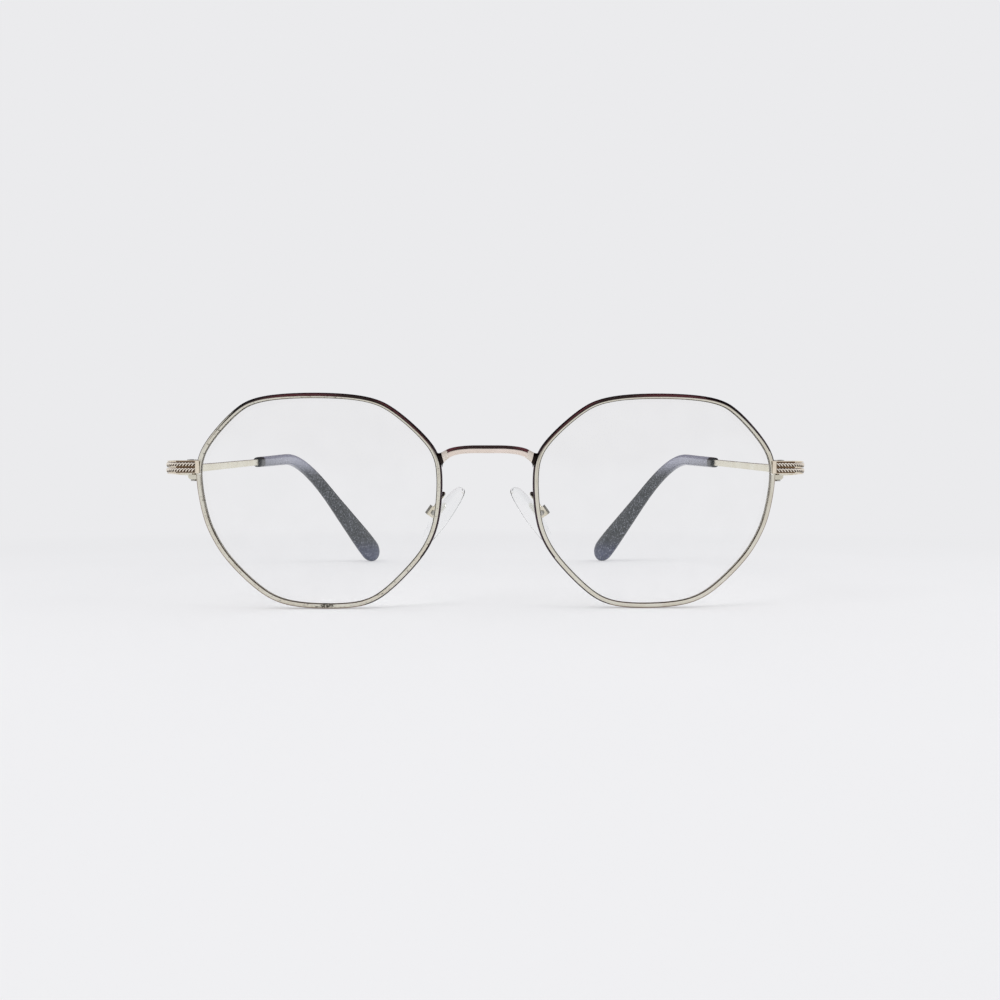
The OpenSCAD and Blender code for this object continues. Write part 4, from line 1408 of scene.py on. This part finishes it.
@dataclass
class Temple(Assembly):
    """A rolled strip that thins behind the hinge and runs on inside an acetate tip.

    Attributes:
        start_y: Where the strip starts behind the front plane.
        straight: Straight stretch that carries the hinge.
        taper: Length over which the strip thins.
        strip_height: Height of the strip at the hinge.
        slim_height: Height of the strip past its taper.
        strip_thickness: Thickness of the strip.
        strip_edge: Radius of the strip's edges.
        core_size: Size of the core inside the tip, as a share of the strip's.
        ear_in: How far the ear bend lies inside the hinges.
        ear_y: Distance of the ear bend's corner behind the front plane.
        ear_z: Height of that corner.
        ear_round: Distance from that corner to where its curve starts.
        tip_in: How far the tip's end lies inside the ear bend.
        end_y: Distance of the tip's end behind the front plane.
        tip_from: Distance from the hinge to the tip's front end.
        tip_height: Height of the tip at its front end.
        tip_thickness: Thickness of the tip there.
        front_round: Place along the run and size of each ring of the rounded front end.
        front_run: Place along the run where the tip's even growth starts.
        neck_grows: Height and thickness where the ear bend starts, as shares of the front end's.
        mid_height: Height of the tip after the bend.
        mid_grows: Thickness of the tip after the bend, as a share of the front end's.
        paddle_run: Length along the drop over which the paddle keeps its full height.
        paddle_height: Greatest height of the paddle.
        paddle_thickness: Thickness of the paddle.
        end_round: Length of the rounded end.
        ease: How far each way along the line a change of height is eased.
        tip_sides: Points round the tip.
        hub: Where the straight stretch ends.
        corner: The ear bend's corner.
        end: The tip's end.
    """

    tip_sides: ClassVar[int] = 28

    start_y: float = 9.53
    straight: float = 5
    taper: float = 9
    strip_height: float = 2.8
    slim_height: float = 1.7
    strip_thickness: float = 1.1
    strip_edge: float = 0.25 / 3
    core_size: float = 0.82
    ear_in: float = 4.1
    ear_y: float = 106
    ear_z: float = 37.7
    ear_round: float = 18
    tip_in: float = 22.2
    end_y: float = 133.3
    tip_from: float = 52
    tip_height: float = 2.9
    tip_thickness: float = 2.5
    front_round: tuple[Point2, ...] = ((0.0, 0.8), (0.002, 0.9), (0.006, 0.97), (0.014, 1.0))
    front_run: float = 0.03
    neck_grows: Point2 = (1.17, 1.08)
    mid_height: float = 4.6
    mid_grows: float = 1.16
    paddle_run: float = 0.12
    paddle_height: float = 8
    paddle_thickness: float = 3.3
    end_round: float = 5.04
    ease: float = 0.1
    hub: Vector = field(init=False)
    corner: Vector = field(init=False)
    end: Vector = field(init=False)

    def __post_init__(self) -> None:
        """Set the corners of the middle line, with the tip's end as low as the table lets it lie."""
        line = node_box("temple_bar_left")[1].x - self.strip_thickness / 2
        band_low, band_high = node_box("end_piece_left")
        ear_x = line - self.ear_in
        self.hub = Vector((line, self.start_y + self.straight, (band_low.z + band_high.z) / 2))
        self.corner = Vector((ear_x, self.ear_y, self.ear_z))
        self.end = Vector((ear_x - self.tip_in, self.end_y, 4.0))
        for _ in range(3):
            lowest = min(p.z for ring in self.tip_rings() for p in ring)
            self.end.z -= lowest

    @property
    def run(self) -> float:
        """Length from the straight stretch's end to where the ear bend starts."""
        return (self.corner - self.hub).length - self.ear_round

    @property
    def drop(self) -> float:
        """Length from the ear bend's end to the tip's end."""
        return (self.end - self.corner).length - self.ear_round

    def bend_ends(self) -> tuple[Vector, Vector]:
        """The two ends of the ear bend's curve."""
        first = self.corner - (self.corner - self.hub).normalized() * self.ear_round
        return first, self.corner + (self.end - self.corner).normalized() * self.ear_round

    def at(self, u: float) -> tuple[Vector, Vector]:
        """Point and unit direction of the middle line.

        Args:
            u: 0 to 1 along the run, 1 to 2 round the ear bend and 2 to 3 down the drop.

        Returns:
            The point and the direction.
        """
        first, last = self.bend_ends()
        if u < 1:
            return self.hub.lerp(first, u), (self.corner - self.hub).normalized()
        if u < 2:
            t = u - 1
            point = (1 - t) ** 2 * first + 2 * t * (1 - t) * self.corner + t * t * last
            return point, ((1 - t) * (self.corner - first) + t * (last - self.corner)).normalized()
        return last.lerp(self.end, u - 2), (self.end - self.corner).normalized()

    def ring(self, u: float, section: Sequence[Point2]) -> Ring:
        """Set a section, given as (across, up), square to the line at u.

        Args:
            u: Place along the middle line.
            section: The section's points.

        Returns:
            The ring's points.
        """
        point, way = self.at(u)
        across = Vector((way.y, -way.x, 0)).normalized()
        up = across.cross(way)
        return [point + across * a + up * b for a, b in section]

    def tip_rings(self) -> list[Ring]:
        """Rings of the tip from its front end to its rounded paddle.

        Returns:
            The rings, from the front.
        """
        first = (self.tip_from - self.straight) / self.run
        last = 3 - self.end_round / self.drop
        neck_tall, neck_wide = self.neck_grows
        heights = [(first, self.tip_height), (1, self.tip_height * neck_tall), (2, self.mid_height),
                   (last - self.paddle_run, self.paddle_height), (last, self.paddle_height)]
        widths = [(first, self.tip_thickness), (1, self.tip_thickness * neck_wide),
                  (2, self.tip_thickness * self.mid_grows), (last, self.paddle_thickness)]
        rings = []
        for lead, size in self.front_round:
            section = superellipse(self.tip_thickness * size, self.tip_height * size, self.tip_sides)
            rings.append(self.ring(first + lead, section))
        lead = self.front_run
        places = [first + lead + (1 - first - lead) * k / 6 for k in range(7)]
        places += [1 + k / 16 for k in range(1, 17)] + [2 + (last - 2) * k / 12 for k in range(1, 13)]
        for u in places:
            tall = blend_table(u, heights, min(self.ease, last - u) if u > 2 else self.ease)
            rings.append(self.ring(u, superellipse(blend_table(u, widths), tall, self.tip_sides)))
        # The end is drawn nearly to its point; it thins more slowly than it narrows
        steps, turned, thinning = 10, 84, 0.6
        for k in range(1, steps + 1):
            a = radians(turned * k / steps)
            wide, tall = self.paddle_thickness * cos(a) ** thinning, self.paddle_height * cos(a)
            rings.append(self.ring(last + (3 - last) * sin(a), superellipse(wide, tall, self.tip_sides)))
        return rings

    def strip_rings(self) -> list[Ring]:
        """Rings of the strip from the hinge to the end of its core inside the tip.

        Returns:
            The rings, from the front.
        """
        first = (self.tip_from - self.straight) / self.run
        edge, thick = self.strip_edge, self.strip_thickness
        rings = []
        for k in range(5):
            point = self.hub - Vector((0, self.straight * (1 - k / 4), 0))
            section = rounded_box(thick, self.strip_height, edge, 3)
            rings.append([point + Vector((a, 0, b)) for a, b in section])
        for k in range(1, 9):
            tall = blend_table(k / 8, [(0, self.strip_height), (1, self.slim_height)], 0.12)
            rings.append(self.ring(k / 8 * self.taper / self.run, rounded_box(thick, tall, edge, 3)))
        core = rounded_box(thick * self.core_size, self.slim_height * self.core_size, edge, 3)
        rings.append(self.ring(first - 0.004, rounded_box(thick, self.slim_height, edge, 3)))
        rings += [self.ring(u, core) for u in (first - 0.003, *(1 + k / 8 for k in range(9)), 2.8)]
        return rings

    def build(self, side: Side) -> list[Piece]:
        """Build the strip and the tip.

        Args:
            side: Half that they are on.

        Returns:
            The strip and the tip.
        """
        strip = loft(f"temple_strip_{side.tag}", self.strip_rings(), side)
        tip = loft(f"acetate_tip_{side.tag}", self.tip_rings(), side, sharp=55.0)
        return [
            dress(strip, FINISHES.temple, Body.TEMPLE, side, f"temple_bar_{side.tag}"),
            dress(tip, FINISHES.tip, Body.TEMPLE, side, f"temple_tip_{side.tag}"),
        ]


@dataclass(frozen=True)
class NosePad(Assembly):
    """A clear pad on a metal plate, screwed into a box on a bent wire arm.

    Attributes:
        middle: The pad's middle.
        lean: Lean of its long axis from upright, in degrees.
        splay: Turn of its back edge away from the nose, in degrees.
        length: Length of the pad.
        width: Width of the pad.
        thickness: Thickness of the pad.
        narrowing: Power of its narrowing towards its ends; less is blunter.
        thinning: The same power for its thickness.
        egg: How much narrower it is above its middle, and wider below.
        cupping: How far its ends lie nearer to the nose, as a share of its thickness.
        pivot_out: Distance from the pad's middle plane to the screw of its box.
        box_top: Height of the CAD box's top along the pad, above the pad's middle.
        screw_z: Height of the box's screw along the pad, above the pad's middle.
        fit: Size of the box, its screw and the plate, as a share of the CAD's.
        plate_edge: Width of the plate's broken edges.
        box_edge: Width of the box's broken edges.
        screw_edge: Width of the screw's broken edges.
        arm: Diameter of the arm's wire.
        arm_up: Height of the arm's foot above the pad's middle.
        rim_depth: Depth of the rim that the arm stands on.
        foot_in: How far over the rim's wall the arm's foot stands, as a share of that wall.
        foot_gap: Gap between the rim's back and the foot, which the solder fills.
        foot_run: Length each way of the foot's straight stretch.
        arm_bend: Control of the arm's bend, from its foot.
        arm_over: Control of the arm over the box, from the one before its end.
        braze_reach: How far behind the rim the arm's solder runs.
    """

    middle: Point3 = (9.9, 8.6, 20.0)
    lean: float = 35
    splay: float = 20
    length: float = 14.5
    width: float = 7.5
    thickness: float = 2.8
    narrowing: float = 0.75
    thinning: float = 0.6
    egg: float = 0.06
    cupping: float = 0.12
    pivot_out: float = 2.5
    box_top: float = 0.31
    screw_z: float = -1.0
    fit: float = 0.82
    plate_edge: float = 0.05
    box_edge: float = 0.38
    screw_edge: float = 0.04
    arm: float = 1.0
    arm_up: float = 4.3
    rim_depth: float = 2.0
    foot_in: float = 0.3
    foot_gap: float = 0.04
    foot_run: float = 0.7
    arm_bend: Point3 = (-0.4, 2.2, 0.3)
    arm_over: Point3 = (-0.3, -0.5, 0.9)
    braze_reach: float = 1.1

    @property
    def placing(self) -> Matrix:
        """Turn and move from the pad's own axes: x away from the nose, y back, z along the pad."""
        turn = Matrix.Rotation(radians(-self.lean), 4, "Y") @ Matrix.Rotation(radians(-self.splay), 4, "Z")
        return Matrix.Translation(Vector(self.middle)) @ turn

    def pad(self, side: Side) -> Piece:
        """Round the pad like a flattened drop, thinner and narrower towards its ends.

        Args:
            side: Half that it is on.

        Returns:
            The pad.
        """
        steps, turned, rings = 18, radians(88), []
        for k in range(-steps, steps + 1):
            a = turned * k / steps
            taper = cos(a) ** self.narrowing
            wide = self.width * taper * (1 - self.egg * sin(a))
            section = superellipse(self.thickness * cos(a) ** self.thinning, wide, 32)
            z = self.length / 2 * sin(a) / sin(turned)
            sway = -self.cupping * self.thickness * (1 - taper)
            rings.append([self.placing @ Vector((x + sway, y, z)) for x, y in section])
        return loft(f"pad_cushion_{side.tag}", rings, side, sharp=70.0)

    def arm_wire(self, side: Side) -> Piece:
        """Bend the wire from the back of the rim down to the top of the box, behind the rim.

        Args:
            side: Half that it is on.

        Returns:
            The wire with its finishes.
        """
        z = self.middle[2] + self.arm_up
        rim_point = OUTLINE.at(OUTLINE.crossing(z, nasal=True))[0]
        wall = OUTLINE.middle.x - OUTLINE.width / 2 - OUTLINE.wall
        rim_back = OUTLINE.set_back(rim_point) + self.rim_depth
        foot = Vector((wall + OUTLINE.wall * self.foot_in, rim_back + self.foot_gap, z))
        stand = Vector((0, self.foot_run, 0))
        top = self.screw_z + (self.box_top - self.screw_z) * self.fit
        seat = self.placing @ Vector((self.pivot_out, 0, top))
        near = self.placing @ Vector((self.pivot_out, 0, top + self.arm))
        path = [foot - stand, foot + stand, foot + Vector(self.arm_bend),
                near + Vector(self.arm_over), near, 2 * seat - near]
        line = [(spline_point(*path[i:i + 3], t), spline_slope(*path[i:i + 3], t))
                for i, t in along_spline(len(path), 8)]
        piece = loft(f"pad_wire_{side.tag}", tube_rings(line, self.arm / 2), side)

        def finish_at(place: Vector) -> Finish:
            """Choose the solder's painted shade behind the rim and plated wire elsewhere."""
            return FINISHES.braze if place.y < foot.y + self.braze_reach else FINISHES.pad_wire

        paint_faces(piece, side, (FINISHES.pad_wire, FINISHES.braze), finish_at)
        return piece

    def fitting(self, node: str, name: str, edge: float, side: Side) -> Piece:
        """Copy one of the CAD's fittings a little smaller, about the screw that the pad rocks on.

        Args:
            node: Name of the CAD node without its side.
            name: Name of the new piece without its side.
            edge: Width of its broken edges.
            side: Half that it is on.

        Returns:
            The new object.
        """
        piece = machined_copy(f"{node}_{side.tag}", f"{name}_{side.tag}", edge)
        pivot = DATUM.to_frame(self.placing @ Vector((self.pivot_out, 0, self.screw_z)), side)
        for vert in piece.data.vertices:
            vert.co = pivot + (vert.co - pivot) * self.fit
        return piece

    def build(self, side: Side) -> list[Piece]:
        """Build the pad, its plate, the box, its screw and the arm.

        Args:
            side: Half that they are on.

        Returns:
            The five pieces.
        """
        tag = side.tag
        plate = self.fitting("pad_stem", "pad_plate", self.plate_edge, side)
        box = self.fitting("pad_box", "pad_cradle", self.box_edge, side)
        screw = self.fitting("pad_screw", "pad_bolt", self.screw_edge, side)
        pad = dress(self.pad(side), FINISHES.pad, Body.PAD, side, f"nose_pad_{tag}")
        pad.visible_shadow = False
        return [
            pad,
            dress(plate, FINISHES.pad_insert, Body.PAD, side, f"pad_stem_{tag}"),
            dress(box, FINISHES.pad_wire, Body.FRONT, side, f"pad_box_{tag}"),
            dress(screw, FINISHES.screw, Body.FRONT, side, f"pad_screw_{tag}"),
            dress(self.arm_wire(side), FINISHES.pad_wire, Body.FRONT, side, f"pad_arm_{tag}"),
        ]


# The studio


@dataclass(frozen=True)
class Studio:
    """White table, soft light and the camera at the photograph's place.

    Attributes:
        camera_at: The camera's place in millimetres from the rims' front plane.
        yaw: Turn of the camera about the vertical, in degrees.
        focal: Focal length in pixels of the picture.
        picture: Width of the picture in pixels.
        ground: Colour of what lies behind the table.
        laminate: Colour of the table.
        laminate_pale: Colour of its paler patches.
        laminate_patch: Size in millimetres of those patches.
        table_half: Half the table's width in metres.
        table_drop: How far it lies below the tips in metres, so that the two never share a plane.
        fade: Distances in metres from the glasses at which the even ground starts and is full.
        fade_start: Share of the even ground near the glasses.
        ceiling: Colour of the unlit room that polished metal mirrors above and beside it.
        front: Its colour straight ahead of the glasses.
        warm: Its colour to either side of straight ahead, where something dark red stands in it.
        flanks: Distance to either side, and how much higher the dark part starts there.
        dark_from: Heights, above those, at which the dark part starts and is full.
        key_at: Place of the main lamp in metres.
        fill_at: Place of the lamp that lightens the shadows.
        lamp_size: Side of each lamp in metres.
        lamp_watts: Power of the main lamp.
        fill_share: Power of the other lamp, as a share of the main one's.
        sky: Strength of the even light from all round.
    """

    camera_at: Point3 = (-0.27, -166.18, 23.14)
    yaw: float = -1.0
    focal: float = 780
    picture: float = 1000
    ground: str = "ebebed"
    laminate: str = "f5f5f6"
    laminate_pale: str = "f8f8f9"
    laminate_patch: float = 60
    table_half: float = 1.6
    table_drop: float = 0.00003
    fade: Point2 = (0.1, 0.42)
    fade_start: float = 0.35
    ceiling: str = "202024"
    front: str = "30272a"
    warm: str = "5a343e"
    flanks: tuple[Point2, ...] = ((0.15, 0.0), (0.45, 0.12), (0.7, 0.12), (0.9, 1.0))
    dark_from: Point2 = (0.09, 0.2)
    key_at: Point3 = (-0.45, -0.5, 0.65)
    fill_at: Point3 = (0.6, -0.2, 0.5)
    lamp_size: float = 0.5
    lamp_watts: float = 2.2
    fill_share: float = 0.6
    sky: float = 0.78

    def camera(self) -> Piece:
        """Place the camera as the one that took the photograph.

        Returns:
            The camera.
        """
        data = bpy.data.cameras.new("studio_camera")
        data.sensor_width = 36
        data.lens = self.focal * data.sensor_width / self.picture
        data.clip_start = 0.01
        camera = bpy.data.objects.new("studio_camera", data)
        camera.location = DATUM.to_frame(Vector(self.camera_at), Side.LEFT)
        camera.rotation_euler = (radians(90), 0, radians(self.yaw))
        bpy.context.scene.collection.objects.link(camera)
        bpy.context.scene.camera = camera
        return camera

    def plain_rays(self, tree: Tree) -> Socket:
        """Tell the rays that show the pale ground: straight, through clear pieces or off polished ones.

        Args:
            tree: Nodes of the table or the world.

        Returns:
            An output that is 1 for those rays and 0 for the rest.
        """
        path = add_node(tree, "ShaderNodeLightPath")
        seen = add_node(tree, "ShaderNodeMath", {"operation": "MAXIMUM"}, {
            0: path.outputs["Is Camera Ray"], 1: path.outputs["Is Transmission Ray"]})
        return add_node(tree, "ShaderNodeMath", {"operation": "MAXIMUM"}, {
            0: seen.outputs[0], 1: path.outputs["Is Glossy Ray"]}).outputs[0]

    def table(self) -> Piece:
        """Lay a white table top that runs on into the pale ground, so no edge shows behind the glasses.

        Returns:
            The table's top.
        """
        work = bmesh.new()
        bmesh.ops.create_grid(work, x_segments=8, y_segments=8, size=self.table_half)
        bmesh.ops.translate(work, verts=work.verts, vec=(0, 0, -self.table_drop))
        top = make_object("table_top", work)
        material = bpy.data.materials.new("white_laminate_matt")
        tree = empty_tree(material)
        place = add_node(tree, "ShaderNodeTexCoord").outputs["Object"]
        mottle = add_node(tree, "ShaderNodeTexNoise", None, {
            "Vector": place, "Scale": 1 / (self.laminate_patch * MM), "Detail": 2.0})
        tone = add_node(tree, "ShaderNodeMix", {"data_type": "RGBA"}, {
            "Factor": mottle.outputs["Fac"], 6: srgb(self.laminate), 7: srgb(self.laminate_pale)})
        matt = add_node(tree, "ShaderNodeBsdfDiffuse", None, {"Color": tone.outputs[2]})
        even = add_node(tree, "ShaderNodeEmission", None, {"Color": srgb(self.ground), "Strength": 1.0})
        # The even ground takes over away from the glasses; the table keeps their shadow near them
        away = add_node(tree, "ShaderNodeVectorMath", {"operation": "LENGTH"}, {0: place})
        fade = add_node(tree, "ShaderNodeMapRange", {"interpolation_type": "SMOOTHSTEP"}, {
            "Value": away.outputs["Value"], "From Min": self.fade[0], "From Max": self.fade[1],
            "To Min": self.fade_start, "To Max": 1.0})
        share = add_node(tree, "ShaderNodeMath", {"operation": "MULTIPLY"}, {
            0: self.plain_rays(tree), 1: fade.outputs["Result"]})
        skin = add_node(tree, "ShaderNodeMixShader", None, {
            "Fac": share.outputs[0], 1: matt.outputs["BSDF"], 2: even.outputs["Emission"]})
        add_node(tree, "ShaderNodeOutputMaterial", None, {"Surface": skin.outputs["Shader"]})
        top.data.materials.append(material)
        return top

    def lamp(self, name: str, at: Vector, watts: float) -> Piece:
        """Hang a square soft lamp that faces the glasses and that metal doesn't mirror.

        Args:
            name: Name of the lamp.
            at: Its place in metres.
            watts: Its power.

        Returns:
            The lamp.
        """
        data = bpy.data.lights.new(name, "AREA")
        data.size = self.lamp_size
        data.energy = watts
        lamp = bpy.data.objects.new(name, data)
        lamp.location = at
        lamp.rotation_euler = (-at).to_track_quat("-Z", "Y").to_euler()
        lamp.visible_glossy = False
        bpy.context.scene.collection.objects.link(lamp)
        return lamp

    def surroundings(self) -> None:
        """Light the scene evenly; metal mirrors a pale room whose ceiling and sides are dark."""
        world = bpy.data.worlds.new("pale_room")
        bpy.context.scene.world = world
        tree = empty_tree(world)
        way = add_node(tree, "ShaderNodeTexCoord").outputs["Generated"]
        axes = add_node(tree, "ShaderNodeSeparateXYZ", None, {"Vector": way})
        beside = add_node(tree, "ShaderNodeMath", {"operation": "ABSOLUTE"}, {0: axes.outputs["X"]})
        # The room is dark overhead and paler to either side
        flank = add_node(tree, "ShaderNodeValToRGB", None, {"Fac": beside.outputs[0]},
                         [(place, (rise, rise, rise, 1)) for place, rise in self.flanks])
        level = add_node(tree, "ShaderNodeMath", {"operation": "SUBTRACT"}, {
            0: axes.outputs["Z"], 1: flank.outputs["Color"]})
        shade = add_node(tree, "ShaderNodeMapRange", {"interpolation_type": "SMOOTHSTEP"}, {
            "Value": level.outputs[0], "From Min": self.dark_from[0], "From Max": self.dark_from[1],
            "To Min": 0.0, "To Max": 1.0})
        path = add_node(tree, "ShaderNodeLightPath")
        glint = add_node(tree, "ShaderNodeMath", {"operation": "SUBTRACT", "use_clamp": True}, {
            0: path.outputs["Is Glossy Ray"], 1: path.outputs["Is Transmission Ray"]})
        mirror = add_node(tree, "ShaderNodeMath", {"operation": "MULTIPLY"}, {
            0: shade.outputs["Result"], 1: glint.outputs[0]})
        front, warm, ceiling = srgb(self.front), srgb(self.warm), srgb(self.ceiling)
        dark = add_node(tree, "ShaderNodeValToRGB", None, {"Fac": beside.outputs[0]},
                        ((0.1, front), (0.2, warm), (0.36, warm), (0.5, ceiling)))
        room = add_node(tree, "ShaderNodeMix", {"data_type": "RGBA"}, {
            "Factor": mirror.outputs[0], 6: srgb(self.ground), 7: dark.outputs["Color"]})
        strength = add_node(tree, "ShaderNodeMapRange", None, {
            "Value": self.plain_rays(tree), "From Min": 0.0, "From Max": 1.0,
            "To Min": self.sky, "To Max": 1.0})
        ground = add_node(tree, "ShaderNodeBackground", None, {
            "Color": room.outputs[2], "Strength": strength.outputs["Result"]})
        add_node(tree, "ShaderNodeOutputWorld", None, {"Surface": ground.outputs["Background"]})

    def build(self) -> None:
        """Set the camera, the table, the light and the colour management."""
        self.camera()
        self.table()
        self.surroundings()
        self.lamp("key_lamp", Vector(self.key_at), self.lamp_watts)
        self.lamp("fill_lamp", Vector(self.fill_at), self.lamp_watts * self.fill_share)
        bpy.context.scene.view_settings.view_transform = "Standard"
        LOG.info("studio is set")


def main() -> None:
    """Build the studio and the glasses."""
    logging.basicConfig(level=logging.INFO, format="%(name)s: %(message)s")
    Studio().build()
    Bridge().build(Side.LEFT)
    assemblies: list[Assembly] = [RimAndLens(), Band(), Hinge(), Temple(), NosePad()]
    for assembly in assemblies:
        for side in Side:
            built = assembly.build(side)
            LOG.info("%s on the %s: %d pieces", type(assembly).__name__, side.tag, len(built))


if __name__ == "__main__":
    main()
